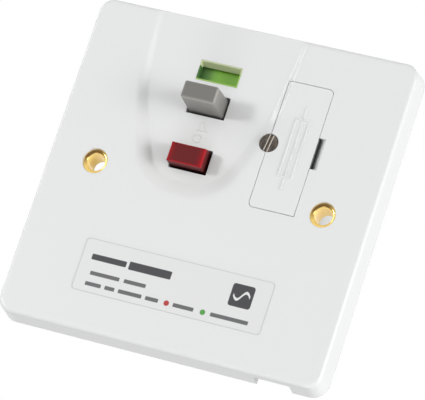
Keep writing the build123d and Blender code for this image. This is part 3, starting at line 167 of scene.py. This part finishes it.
class Paint(Graph):
    # A material with one Principled surface

    def __init__(self, name):
        self.material = bpy.data.materials.new(name)
        self.material.use_nodes = True
        super().__init__(self.material.node_tree)
        self.surface = self.node("ShaderNodeBsdfPrincipled")
        self.output = self.node("ShaderNodeOutputMaterial", None, [self.surface])
        self.place = None

    def coords(self):
        if self.place is None:
            self.place = self.node("ShaderNodeTexCoord", output="Object")
        return self.place

    def axes(self):
        # The place in the shared frame, in millimetres
        return [axis * perMetre for axis in self.split(self.coords())]

    def noise(self, scale, detail=2.0):
        values = {"Vector": self.coords(), "Scale": scale, "Detail": detail}
        return self.node("ShaderNodeTexNoise", None, values)

    def mix(self, factor, first, second):
        # Sockets 6 and 7 and output 2 are the ones for colours
        values = {0: factor, 6: first, 7: second}
        return self.node("ShaderNodeMix", {"data_type": "RGBA"}, values, 2)

    def bevel(self, radius):
        return self.node("ShaderNodeBevel", {"samples": 4}, {"Radius": radius})

    def split(self, vector):
        parts = self.node("ShaderNodeSeparateXYZ", None, [vector])
        return [Wire(self, parts.node, axis) for axis in "XYZ"]

    def bump(self, height, strength, distance, normal=None):
        values = {"Height": height, "Strength": strength, "Distance": distance}
        if normal is not None:
            values["Normal"] = normal
        return self.node("ShaderNodeBump", None, values)

    def finish(self, **values):
        for key, value in values.items():
            self.feed(self.surface.node.inputs[key.replace("_", " ")], value)
        return self.material


def tint(color, amount):
    return tuple(max(0.0, min(1.0, channel * (1.0 + amount))) for channel in color)


grained = {
    "broadScale": 60.0,
    "broadDetail": 3.0,
    "broadGloss": 0.12,
    "fineGloss": 0.10,
    "bump": 0.25,
    "bumpDepth": 0.00002,
}


def smooth(name, color, roughness, grain, bevel=0.00015, metallic=0.0, coat=0.0, spread=0.04):
    # Plain moulded or metal stuff: small changes of tone and gloss, a fine grain and soft edges
    paint = Paint(name)
    broad = paint.noise(grained["broadScale"], grained["broadDetail"])
    fine = paint.noise(grain)
    shade = paint.mix(broad, tint(color, -spread), tint(color, spread))
    gloss = (broad - 0.5) * grained["broadGloss"] + (fine - 0.5) * grained["fineGloss"] + roughness
    normal = paint.bump(fine, grained["bump"], grained["bumpDepth"], paint.bevel(bevel))
    return paint.finish(
        Base_Color=shade,
        Roughness=gloss,
        Metallic=metallic,
        Coat_Weight=coat,
        Normal=normal,
    )


def wear(node, material):
    target = nodes[node]
    target.data.materials.clear()
    target.data.materials.append(material)


# Each pair is where a change starts and where it ends. "flat" and "crease" are the slopes between
# which the gain goes from "calm" to "steep", and "rise" is what is left of a slope up or down
scoop = {
    "x": part["buttonX"],
    "halfWidth": 24.0,
    "lowZ": -8.0,
    "highZ": 41.4,
    "soft": 0.5,
    "wallsOnly": (0.55, 0.45),
    "flat": 0.11,
    "crease": 0.21,
    "calm": 0.35,
    "steep": 2.4,
    "rise": 0.30,
    "facesLeft": (0.0, -0.05),
    "lowDown": (27.0, 17.0),
}


def crisp(paint, normal, x, z):
    # Turns the normals on the scoop's walls, so that they look steeper with narrower rounded edges,
    # and the lower wall and the lower part of the wall that faces left look calmer
    across, along, upward = paint.split(normal)
    slope = (across * across + upward * upward).math("SQRT")
    inside = (x - scoop["x"]).size().step(scoop["halfWidth"], scoop["halfWidth"] - scoop["soft"])
    inside = inside * z.step(scoop["lowZ"], scoop["lowZ"] + scoop["soft"])
    inside = inside * z.step(scoop["highZ"], scoop["highZ"] - scoop["soft"])
    inside = inside * slope.step(*scoop["wallsOnly"])
    turned = across.step(*scoop["facesLeft"]) * z.step(*scoop["lowDown"])
    gain = slope.step(scoop["flat"], scoop["crease"]) * (scoop["steep"] - scoop["calm"])
    gain = gain * (1.0 - turned) + scoop["calm"]
    gain = (gain - 1.0) * inside + 1.0
    lift = gain * (inside * (scoop["rise"] - 1.0) + 1.0)
    values = {"X": across * gain, "Y": along, "Z": upward * lift}
    joined = paint.node("ShaderNodeCombineXYZ", None, values)
    return paint.node("ShaderNodeVectorMath", {"operation": "NORMALIZE"}, [joined])


plastic = {
    "color": (0.80, 0.81, 0.805),
    "roughness": 0.25,
    "grain": 1500.0,
    "plateBevel": 0.00025,
    "carrierBevel": 0.00018,
}
# Painted shade in the pry recess beside the carrier: its colour, where it starts, where it fades out,
# and its edges
notchShade = {
    "color": (0.08, 0.08, 0.08),
    "before": 0.3,
    "lightEnd": 0.6,
    "heightEdge": (4.3, 4.2),
    "depthEdge": (0.12, 0.2),
}
housing = {
    "color": (0.66, 0.66, 0.64),
    "roughness": 0.45,
    "grain": 1200.0,
    "bevel": 0.0003,
    "spread": 0.02,
}


def shellPaint(name, bevel):
    # White plastic, with painted shade in the pry recess beside the carrier: darkest at the carrier
    # and fading out towards the recess's far end
    paint = Paint(name)
    x, y, z = paint.axes()
    fine = paint.noise(plastic["grain"])
    left = part["notchLeft"] - notchShade["before"]
    inside = x.step(left, part["notchLeft"]) * (z - part["carrierZ"]).size().step(*notchShade["heightEdge"])
    inside = inside * (y + part["faceLevel"]).step(*notchShade["depthEdge"])
    shadeFade = x.step(part["notchRight"] - notchShade["lightEnd"], left)
    # Painted shade in the pry recess
    shade = paint.mix(inside * shadeFade, plastic["color"], notchShade["color"])
    gloss = (fine - 0.5) * grained["fineGloss"] + plastic["roughness"]
    walls = crisp(paint, paint.bevel(bevel), x, z)
    normal = paint.bump(fine, grained["bump"], grained["bumpDepth"], walls)
    return paint.finish(Base_Color=shade, Roughness=gloss, Normal=normal)


plateWhite = shellPaint("plateWhite", plastic["plateBevel"])
carrierWhite = shellPaint("carrierWhite", plastic["carrierBevel"])
housingWhite = smooth("housingWhite", **housing)
wear("front_plate", plateWhite)
wear("fuse_carrier", carrierWhite)
wear("rear_housing", housingWhite)
wear("cord_grip", housingWhite)

# Each cap has "middle" for its face, "rim" as a painted highlight towards the face's edges, "side" as
# the sides' tone painted for the light on them, and "foot" as painted shade on the sides towards the
# plate
buttons = {
    "reset_button": {
        "name": "buttonGrey",
        "z": part["resetZ"],
        "half": part["resetFace"],
        "level": part["resetLevel"],
        "middle": (0.185, 0.178, 0.162),
        "rimHighlight": (0.42, 0.41, 0.38),
        "side": (0.26, 0.252, 0.235),
        "foot": (0.13, 0.128, 0.12),
        "reach": (0.65, 0.65),
        "roughness": 0.38,
        "gloss": 0.4,
    },
    "test_button": {
        "name": "buttonRed",
        "z": part["testZ"],
        "half": part["testFace"],
        "level": part["testLevel"],
        "middle": (0.150, 0.022, 0.024),
        "rimHighlight": (0.44, 0.012, 0.020),
        "side": (0.16, 0.006, 0.008),
        "foot": (0.015, 0.002, 0.002),
        "reach": (2.6, 0.5),
        "roughness": 0.35,
        "gloss": 0.06,
    },
}
cap = {
    "faceEdge": (0.3, 0.9),
    "sideStart": 0.8,
    "pastPlate": 1.0,
    "grain": 1800.0,
    "bump": 0.10,
    "bumpDepth": 0.00001,
}


def nearEdge(offset, half, reach):
    # 0 in the middle of a face, rising to 1 at its edge
    return (offset.size() - (half - reach)).step(0.0, reach)


def capPaint(look):
    # A moulded cap with painted light: a painted highlight towards the edges of its face, sides in a
    # tone painted for the light on them, and painted shade on the sides towards the plate
    paint = Paint(look["name"])
    x, y, z = paint.axes()
    aside = nearEdge(x - part["buttonX"], look["half"][0], look["reach"][0])
    above = nearEdge(z - look["z"], look["half"][1], look["reach"][1])
    drop = y + look["level"]
    foot = look["level"] - part["faceLevel"] + cap["pastPlate"]
    # Painted highlight towards the edges of the face
    face = paint.mix((aside * aside * aside).high(above * above), look["middle"], look["rimHighlight"])
    # Painted shade on the sides towards the plate
    side = paint.mix(drop.step(cap["sideStart"], foot), look["side"], look["foot"])
    shade = paint.mix(drop.step(*cap["faceEdge"]), face, side)
    normal = paint.bump(paint.noise(cap["grain"]), cap["bump"], cap["bumpDepth"])
    return paint.finish(
        Base_Color=shade,
        Roughness=look["roughness"],
        Specular_IOR_Level=look["gloss"],
        Normal=normal,
    )


for node, look in buttons.items():
    wear(node, capPaint(look))

# The edges are pairs of distances from the window's middle, where a change starts and where it ends
window = {
    # "shade" is painted shade on the panel, "wall" the bezel's dark tone with painted shade on its
    # left wall, and "rim" a painted highlight on its rims
    "panel": (0.24, 0.52, 0.06),
    "shade": (0.10, 0.24, 0.08),
    "shadeEdge": (-5.4, -0.8),
    "panelRoughness": 0.30,
    "sill": (0.56, 0.63, 0.37),
    "sillEdge": (1.0, 1.2),
    "rimHighlight": (0.36, 0.58, 0.14),
    "rightEdge": (5.0, 5.15),
    "lowEdge": (-2.1, -2.25),
    "wall": (0.06, 0.16, 0.035),
    "bezelRoughness": 0.35,
}
shutter = {"color": (0.50, 0.03, 0.03), "roughness": 0.45, "grain": 1200.0}


def panelPaint():
    # The panel has painted shade, darker towards its left edge
    paint = Paint("panelGreen")
    x = paint.axes()[0]
    across = (x - part["windowX"]).step(*window["shadeEdge"])
    shade = paint.mix(across, window["shade"], window["panel"])
    return paint.finish(Base_Color=shade, Roughness=window["panelRoughness"])


def bezelPaint():
    # A lighter slope above the panel, painted shade on the dark wall on its left, and painted
    # highlights on the rims on its right and below
    paint = Paint("bezelGreen")
    x, _, z = paint.axes()
    slope = (z - part["windowZ"]).step(*window["sillEdge"])
    right = (x - part["windowX"]).step(*window["rightEdge"])
    below = (z - part["windowZ"]).step(*window["lowEdge"])
    # Painted shade on the wall and painted highlights on the rims
    shade = paint.mix(right.high(below), window["wall"], window["rimHighlight"])
    shade = paint.mix(slope, shade, window["sill"])
    return paint.finish(Base_Color=shade, Roughness=window["bezelRoughness"])


wear("indicator_panel", panelPaint())
wear("indicator_bezel", bezelPaint())
wear("indicator_shutter", smooth("shutterRed", **shutter))

# "shadeSide" is the share of up and of left in the direction that the shade on the lip faces
eyelet = {
    "lip": (0.86, 0.62, 0.20),
    # "bore" is painted pale and "glow" makes it glow, as painted light down the bore, and "shade" is
    # painted shade on the lip
    "bore": (0.98, 0.80, 0.30),
    "glow": (0.10, 0.08, 0.035),
    "shade": (0.20, 0.115, 0.04),
    "least": 0.1,
    "boreEdge": (2.25, 2.45),
    "rimEdge": (3.3, 3.0),
    "shadeSide": (0.86, 0.50),
    "shadeEdge": (-0.1, 0.75),
    "boreMetallic": 0.1,
    "lipMetallic": 1.0,
    "roughness": 0.14,
    "grain": 1800.0,
    "bump": 0.1,
    "bumpDepth": 0.00001,
    "bevel": 0.0001,
}


def eyeletPaint():
    # Polished brass, with painted shade round the upper left of the lip; the bore is painted pale and
    # glows a little, as painted light down the bore
    paint = Paint("eyeletBrass")
    x, _, z = paint.axes()
    across = x - x.math("SIGN") * part["eyeletX"]
    radius = (across * across + z * z).math("SQRT").high(eyelet["least"])
    up, left = eyelet["shadeSide"]
    facing = (z * up - across * left).math("DIVIDE", radius)
    lip = radius.step(*eyelet["boreEdge"])
    # Painted shade round the upper left of the lip
    lipShade = facing.step(*eyelet["shadeEdge"]) * lip * radius.step(*eyelet["rimEdge"])
    shade = paint.mix(lip, eyelet["bore"], eyelet["lip"])
    shade = paint.mix(lipShade, shade, eyelet["shade"])
    fine = paint.noise(eyelet["grain"])
    normal = paint.bump(fine, eyelet["bump"], eyelet["bumpDepth"], paint.bevel(eyelet["bevel"]))
    return paint.finish(
        Base_Color=shade,
        Metallic=lip * (eyelet["lipMetallic"] - eyelet["boreMetallic"]) + eyelet["boreMetallic"],
        Roughness=eyelet["roughness"],
        # The bore's glow is painted light
        Emission_Color=paint.mix(lip, eyelet["glow"], (0.0, 0.0, 0.0)),
        Emission_Strength=1.0,
        Normal=normal,
    )


eyeletBrass = eyeletPaint()
for node in ("fixing_eyelets", "eyelet_collars"):
    wear(node, eyeletBrass)

# Each metal names the beginnings of its nodes' names, and a later metal replaces an earlier one
metals = {
    "strapBrass": {
        "color": (0.70, 0.50, 0.18),
        "roughness": 0.30,
        "nodes": ("earth_strap", "earth_link", "screw_insert", "terminal_"),
    },
    "contactCopper": {
        "color": (0.72, 0.38, 0.20),
        "roughness": 0.32,
        "nodes": (
            "fuse_clip",
            "fixed_contact",
            "moving_contact",
            "primary_lead",
            "test_contact",
            "test_posts",
        ),
    },
    "zincSteel": {
        "color": (0.52, 0.52, 0.51),
        "roughness": 0.34,
        "nodes": (
            "terminal_screws",
            "grip_screws",
            "housing_screws",
            "coil_yoke",
            "coil_plunger",
            "latch_plate",
        ),
    },
    "springSteel": {
        "color": (0.52, 0.52, 0.51),
        "roughness": 0.22,
        "nodes": ("reset_spring", "test_spring", "latch_spring"),
    },
    "capNickel": {
        "color": (0.66, 0.62, 0.52),
        "roughness": 0.22,
        "nodes": ("fuse_caps",),
    },
}
metalSurface = {"grain": 1800.0, "bevel": 0.00012, "metallic": 1.0, "spread": 0.10}

for name, look in metals.items():
    metal = smooth(name, look["color"], look["roughness"], **metalSurface)
    for node in nodes:
        if node.startswith(look["nodes"]):
            wear(node, metal)

screw = {
    "head": (0.085, 0.070, 0.058),
    "headSpread": (-0.35, 0.5),
    # "line" is a painted highlight along each lip of the slot, and "slot" is painted light against the
    # shadow in the slot
    "line": (0.62, 0.58, 0.52),
    "highlightHalf": 0.56,
    "slot": (0.30, 0.255, 0.21),
    "slotHalf": 0.40,
    "soft": 0.04,
    "before": 0.03,
    "after": 0.02,
    "patchScale": 900.0,
    "patchEdge": (0.35, 0.65),
    "bump": 0.3,
    "bumpDepth": 0.00003,
    "metallic": 0.6,
    "roughness": 0.42,
}


def screwPaint():
    # Darkened steel with painted highlights along both lips of the slot, and painted light in the slot
    # that makes it lighter than the head
    paint = Paint("screwDark")
    x, _, z = paint.axes()
    turn = math.radians(part["screwTurn"])
    offset = ((x - part["screwX"]) * math.cos(turn) - (z - part["carrierZ"]) * math.sin(turn)).size()
    patch = paint.noise(screw["patchScale"])
    darker, lighter = [tint(screw["head"], spread) for spread in screw["headSpread"]]
    head = paint.mix(patch.step(*screw["patchEdge"]), darker, lighter)
    slotHalf, highlightHalf = screw["slotHalf"], screw["highlightHalf"]
    # Where the painted highlights lie along both lips of the slot
    lip = offset.step(slotHalf - screw["before"], slotHalf + screw["after"])
    lip = lip * offset.step(highlightHalf + screw["soft"], highlightHalf)
    shade = paint.mix(lip, head, screw["line"])
    # Painted light in the slot
    shade = paint.mix(offset.step(slotHalf, slotHalf - screw["soft"]), shade, screw["slot"])
    normal = paint.bump(patch, screw["bump"], screw["bumpDepth"])
    return paint.finish(
        Base_Color=shade,
        Metallic=screw["metallic"],
        Roughness=screw["roughness"],
        Normal=normal,
    )


wear("carrier_screw", screwPaint())

inner = {
    "mechanism_deck": {
        "name": "deckPlastic",
        "color": (0.035, 0.035, 0.04),
        "roughness": 0.45,
        "grain": 1200.0,
    },
    "contact_bridge": {
        "name": "bridgePlastic",
        "color": (0.20, 0.06, 0.025),
        "roughness": 0.45,
        "grain": 1200.0,
    },
    "coil_bobbin": {
        "name": "bobbinPlastic",
        "color": (0.02, 0.02, 0.02),
        "roughness": 0.4,
        "grain": 1200.0,
    },
    "control_chip": {
        "name": "chipBody",
        "color": (0.012, 0.012, 0.013),
        "roughness": 0.5,
        "grain": 2500.0,
    },
    "surge_disc": {
        "name": "discBlue",
        "color": (0.02, 0.07, 0.26),
        "roughness": 0.25,
        "grain": 900.0,
        "bevel": 0.0003,
    },
    "test_resistor": {
        "name": "resistorBuff",
        "color": (0.48, 0.33, 0.17),
        "roughness": 0.35,
        "grain": 900.0,
        "bevel": 0.0003,
    },
    "sensor_core": {
        "name": "coreFerrite",
        "color": (0.02, 0.02, 0.022),
        "roughness": 0.6,
        "grain": 2500.0,
    },
    "fuse_barrel": {
        "name": "fuseCeramic",
        "color": (0.72, 0.70, 0.64),
        "roughness": 0.18,
        "grain": 700.0,
        "coat": 0.3,
    },
}

for node, look in inner.items():
    wear(node, smooth(**look))
print("plain materials done")

board = {
    "mask": (0.012, 0.085, 0.03),
    "track": (0.03, 0.16, 0.05),
    "columnPitch": 2.54,
    "rowPitch": 7.62,
    "halfLine": 0.45,
    "soft": 0.04,
    "patchScale": 140.0,
    "patchEdge": (0.52, 0.53),
    "bump": 0.4,
    "bumpDepth": 0.00004,
    "roughness": 0.32,
    "coat": 0.4,
}


def boardPaint():
    # Green laminate, with upright tracks on some patches and level ones on the rest
    paint = Paint("boardLaminate")
    x, _, z = paint.axes()
    column = x.math("PINGPONG", board["columnPitch"] / 2)
    row = z.math("PINGPONG", board["rowPitch"] / 2)
    patch = paint.noise(board["patchScale"], 0.0).step(*board["patchEdge"])
    lineEdge = board["halfLine"] + board["soft"], board["halfLine"]
    track = (column.step(*lineEdge) * patch).high(row.step(*lineEdge) * (1.0 - patch))
    shade = paint.mix(track, board["mask"], board["track"])
    normal = paint.bump(track, board["bump"], board["bumpDepth"])
    return paint.finish(
        Base_Color=shade,
        Roughness=board["roughness"],
        Coat_Weight=board["coat"],
        Normal=normal,
    )


wear("circuit_board", boardPaint())

winding = {
    "color": (0.52, 0.17, 0.06),
    "between": -0.5,
    "coilPitch": 0.42,
    "strands": 64.0,
    "sensorX": 2.0,
    "sensorZ": -19.0,
    "bump": 1.0,
    "bumpDepth": 0.00015,
    "metallic": 0.85,
    "roughness": 0.28,
    "coat": 0.5,
}


def windingPaint(name, ring):
    # Copper wire side by side, wound round the sensor's ring or up the coil
    paint = Paint(name)
    x, _, z = paint.axes()
    if ring:
        angle = (z - winding["sensorZ"]).math("ARCTAN2", x - winding["sensorX"])
        phase = angle * winding["strands"]
    else:
        phase = z * (2 * math.pi / winding["coilPitch"])
    strand = phase.math("SINE") * 0.5 + 0.5
    shade = paint.mix(strand, tint(winding["color"], winding["between"]), winding["color"])
    normal = paint.bump(strand, winding["bump"], winding["bumpDepth"])
    return paint.finish(
        Base_Color=shade,
        Metallic=winding["metallic"],
        Roughness=winding["roughness"],
        Coat_Weight=winding["coat"],
        Normal=normal,
    )


wear("coil_winding", windingPaint("coilCopper", False))
wear("sensor_winding", windingPaint("sensorCopper", True))

label = {
    "film": (0.775, 0.78, 0.778),
    "edge": (0.60, 0.61, 0.61),
    "edgeWidth": 0.2,
    "soft": 0.06,
    "halfWidth": 24.85,
    "halfHeight": 6.8,
    "corner": 0.9,
    "ink": (0.045, 0.045, 0.05),
    "grey": (0.13, 0.13, 0.135),
    "red": (0.45, 0.04, 0.04),
    "green": (0.08, 0.32, 0.06),
    "grain": 2500.0,
    "bump": 0.15,
    "bumpDepth": 0.00001,
    "roughness": 0.34,
}
# Each field is centre x, centre z, half width, half height and roundness, from the label's middle
labelFields = {
    "ink": [(-17.6, 2.3, 4.6, 0.75, 0.3), (-6.7, 2.3, 5.6, 1.05, 0.3)],
    "grey": [
        (-17.4, -1.8, 3.9, 0.5, 0.2),
        (-9.4, -1.8, 2.9, 0.5, 0.2),
        (-19.6, -4.6, 2.1, 0.5, 0.2),
        (-15.2, -4.6, 1.3, 0.5, 0.2),
        (-9.8, -4.6, 3.1, 0.5, 0.2),
        (-4.0, -4.6, 1.7, 0.5, 0.2),
        (4.3, -4.6, 2.7, 0.5, 0.2),
        (16.3, -4.6, 4.9, 0.5, 0.2),
    ],
    "red": [(-0.1, -4.6, 0.7, 0.7, 0.7)],
    "green": [(9.4, -4.6, 0.7, 0.7, 0.7)],
}
badge = {
    "x": 17.6,
    "z": 1.6,
    "half": 2.9,
    "corner": 0.7,
    "waveTurn": 1.45,
    "waveHeight": 1.05,
    "waveEdge": (0.42, 0.30),
    "waveEnd": (2.2, 2.1),
}


def labelPaint():
    # A pale film with dark bars, two dots and a dark badge with a plain wave on it
    paint = Paint("labelFilm")
    x, _, z = paint.axes()
    across = x - part["labelX"]
    up = z - part["labelZ"]

    def field(cx, cz, halfWidth, halfHeight, corner):
        sideways = ((across - cx).size() - (halfWidth - corner)).high(0.0)
        upright = ((up - cz).size() - (halfHeight - corner)).high(0.0)
        reach = (sideways * sideways + upright * upright).math("SQRT")
        return reach.step(corner + label["soft"], corner - label["soft"])

    width, height = [label[half] - label["edgeWidth"] for half in ("halfWidth", "halfHeight")]
    middle = field(0.0, 0.0, width, height, label["corner"])
    shade = paint.mix(middle, label["edge"], label["film"])
    for ink, fields in labelFields.items():
        mask = field(*fields[0])
        for values in fields[1:]:
            mask = mask.high(field(*values))
        shade = paint.mix(mask, shade, label[ink])
    square = field(badge["x"], badge["z"], badge["half"], badge["half"], badge["corner"])
    shade = paint.mix(square, shade, label["ink"])
    crest = ((across - badge["x"]) * badge["waveTurn"]).math("SINE") * badge["waveHeight"]
    wave = (up - badge["z"] - crest).size().step(*badge["waveEdge"])
    wave = wave * (across - badge["x"]).size().step(*badge["waveEnd"])
    shade = paint.mix(wave, shade, label["film"])
    normal = paint.bump(paint.noise(label["grain"]), label["bump"], label["bumpDepth"])
    return paint.finish(Base_Color=shade, Roughness=label["roughness"], Normal=normal)


wear("rating_label", labelPaint())
print("label and inner materials done")


def newPiece(name, bm, material, body):
    bmesh.ops.recalc_face_normals(bm, faces=bm.faces)
    mesh = bpy.data.meshes.new(name)
    bm.to_mesh(mesh)
    bm.free()
    piece = bpy.data.objects.new(name, mesh)
    bpy.context.scene.collection.objects.link(piece)
    piece.data.materials.append(material)
    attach(piece, body)


# The crest's share of a raised line's width, and how far its feet lie under the surface
line = {"crest": 0.72, "sink": 0.05}


def profile(width, height):
    # How far out and how high a raised line's four edges lie, from its outer foot to its inner one
    half = width / 2
    crest = half * line["crest"]
    return [(half, -line["sink"]), (crest, height), (-crest, height), (-half, -line["sink"])]


def kept(result, kind):
    # The vertices or the edges that an extrusion has made
    return [item for item in result["geom"] if isinstance(item, kind)]


def raisedLoop(bm, x, z, sides, radii, turn, width, height):
    # A raised line round an upright shape, drawn from its outer foot over the crest to its inner foot.
    # The radii are those of the middle line's corners, along x and z
    corner = math.cos(math.pi / sides)
    place = Matrix.Translation((x * mm, 0.0, z * mm))
    upright = Matrix.Rotation(math.pi / 2, 4, "X") @ Matrix.Rotation(turn, 4, "Z")
    ring = bmesh.ops.create_circle(bm, segments=sides, radius=mm, matrix=place @ upright)["verts"]
    first = edges = [edge for edge in bm.edges if all(vert in ring for vert in edge.verts)]
    size, level = (1.0, 1.0), 0.0
    for i, (far, up) in enumerate(profile(width, height)):
        if i > 0:
            grown = bmesh.ops.extrude_edge_only(bm, edges=edges)
            ring, edges = kept(grown, bmesh.types.BMVert), kept(grown, bmesh.types.BMEdge)
        wanted = [radius + far / corner for radius in radii]
        scale = (wanted[0] / size[0], 1.0, wanted[1] / size[1])
        bmesh.ops.scale(bm, vec=scale, space=place.inverted(), verts=ring)
        bmesh.ops.translate(bm, vec=(0.0, (level - up) * mm, 0.0), verts=ring)
        size, level = wanted, up
    bmesh.ops.bridge_loops(bm, edges=first + edges)


def raisedBar(bm, x, low, high, width, height):
    # A straight raised line, drawn along z from its cross-section
    edges = profile(width, height)
    section = [bm.verts.new(((x + far) * mm, -up * mm, low * mm)) for far, up in edges]
    grown = bmesh.ops.extrude_face_region(bm, geom=[bm.faces.new(section)])
    bmesh.ops.translate(bm, vec=(0.0, 0.0, (high - low) * mm), verts=kept(grown, bmesh.types.BMVert))


relief = {
    "aside": 0.6,
    "width": 0.6,
    "height": 0.15,
    "halfWidth": 1.7,
    "halfLength": 7.6,
    "tail": 3.4,
}


def carrierRelief():
    # The plain sign for a fuse: a long box with a line through it
    bm = bmesh.new()
    x, z = part["carrierX"] + relief["aside"], part["carrierZ"]
    width, height = relief["width"], relief["height"]
    corner = math.cos(math.pi / 4)
    radii = (relief["halfWidth"] / corner, relief["halfLength"] / corner)
    raisedLoop(bm, x, z, 4, radii, math.pi / 4, width, height)
    within = relief["halfLength"] - width / 2
    beyond = relief["halfLength"] + width / 2
    end = relief["halfLength"] + relief["tail"]
    for low, high in ((-end, -beyond), (-within, within), (beyond, end)):
        raisedBar(bm, x, z + low, z + high, width, height)
    bmesh.ops.translate(bm, vec=(0.0, -part["faceLevel"] * mm, 0.0), verts=bm.verts)
    newPiece("carrierRelief", bm, carrierWhite, "carrier")


carrierRelief()

# Each mark is its middle, the number of its sides and its corners' radius
marks = {
    "width": 0.4,
    "height": 0.09,
    "triangle": (-6.5, 14.8, 3, 1.38),
    "ring": (-6.9, 12.0, 32, 1.02),
}


def buttonMarks():
    # A plain triangle for the upper button and a plain ring for the lower one, on the sloping floor
    bm = bmesh.new()
    for name in ("triangle", "ring"):
        x, z, sides, radius = marks[name]
        raisedLoop(bm, x, z, sides, (radius, radius), 0.0, marks["width"], marks["height"])
    slope = Matrix.Identity(4)
    slope[1][2] = -part["scoopTilt"]
    floorAtMiddle = part["faceLevel"] - part["scoopDepth"] - part["scoopTilt"] * part["scoopBottomZ"]
    slope[1][3] = -floorAtMiddle * mm
    bmesh.ops.transform(bm, matrix=slope, verts=bm.verts)
    newPiece("buttonMarks", bm, plateWhite, "base")


buttonMarks()
print("relief marks done")

# Each lamp is its name, its place, its width and its power
studio = {
    "white": (1.0, 1.0, 1.0),
    "world": 0.355,
    "floorZ": -1.2,
    "floorHalf": 3.0,
    "floorColor": (0.90, 0.90, 0.90),
    "floorRoughness": 0.9,
    "floorEven": 0.75,
    "lights": [
        ("keyRight", (0.95, -0.25, 0.00), 0.80, 4.4),
        ("frontRight", (0.88, -0.47, 0.05), 0.45, 3.2),
        ("keyLeft", (-0.62, -0.74, -0.02), 0.20, 2.8),
        ("sideLeft", (-0.92, -0.36, 0.12), 0.35, 1.0),
        ("highLeft", (-0.85, -0.32, 0.40), 0.35, 1.4),
        ("lowFill", (0.05, -0.20, -0.95), 0.60, 2.6),
    ],
}


def buildWorld():
    # The camera, metal and gloss see a white surround, and the rest of the light is the studio's
    world = bpy.data.worlds.new("studioWorld")
    world.use_nodes = True
    bpy.context.scene.world = world
    sky = Graph(world.node_tree)
    light, backdrop = [
        sky.node("ShaderNodeBackground", None, {"Color": studio["white"], "Strength": strength})
        for strength in (studio["world"], 1.0)
    ]
    choose = sky.node("ShaderNodeMixShader", None, [sky.surround(), light, backdrop])
    sky.node("ShaderNodeOutputWorld", None, [choose])


def buildLamps():
    for name, place, size, power in studio["lights"]:
        data = bpy.data.lights.new(name, "AREA")
        data.shape = "DISK"
        data.size = size
        data.energy = power
        lamp = bpy.data.objects.new(name, data)
        bpy.context.scene.collection.objects.link(lamp)
        turn = Vector(place).to_track_quat("Z", "Y").to_matrix().to_4x4()
        lamp.matrix_world = Matrix.Translation(place) @ turn


def floorPaint():
    # The floor is plain and pale, and looks nearly evenly lit to the camera and in reflections
    paint = Paint("floorPale")
    paint.finish(Base_Color=studio["floorColor"], Roughness=studio["floorRoughness"])
    even = paint.node("ShaderNodeEmission", None, {"Color": studio["floorColor"], "Strength": 1.0})
    share = paint.surround() * studio["floorEven"]
    choose = paint.node("ShaderNodeMixShader", None, [share, paint.surface, even])
    paint.feed(paint.output.node.inputs[0], choose)
    return paint.material


def buildFloor():
    bm = bmesh.new()
    bmesh.ops.create_grid(bm, x_segments=2, y_segments=2, size=studio["floorHalf"])
    mesh = bpy.data.meshes.new("studioFloor")
    bm.to_mesh(mesh)
    bm.free()
    mesh.transform(Matrix.Translation((0.0, 0.0, studio["floorZ"])))
    ground = bpy.data.objects.new("studioFloor", mesh)
    bpy.context.scene.collection.objects.link(ground)
    ground.data.materials.append(floorPaint())


buildWorld()
buildLamps()
buildFloor()
bpy.context.scene.view_settings.view_transform = "Standard"
print("studio done")
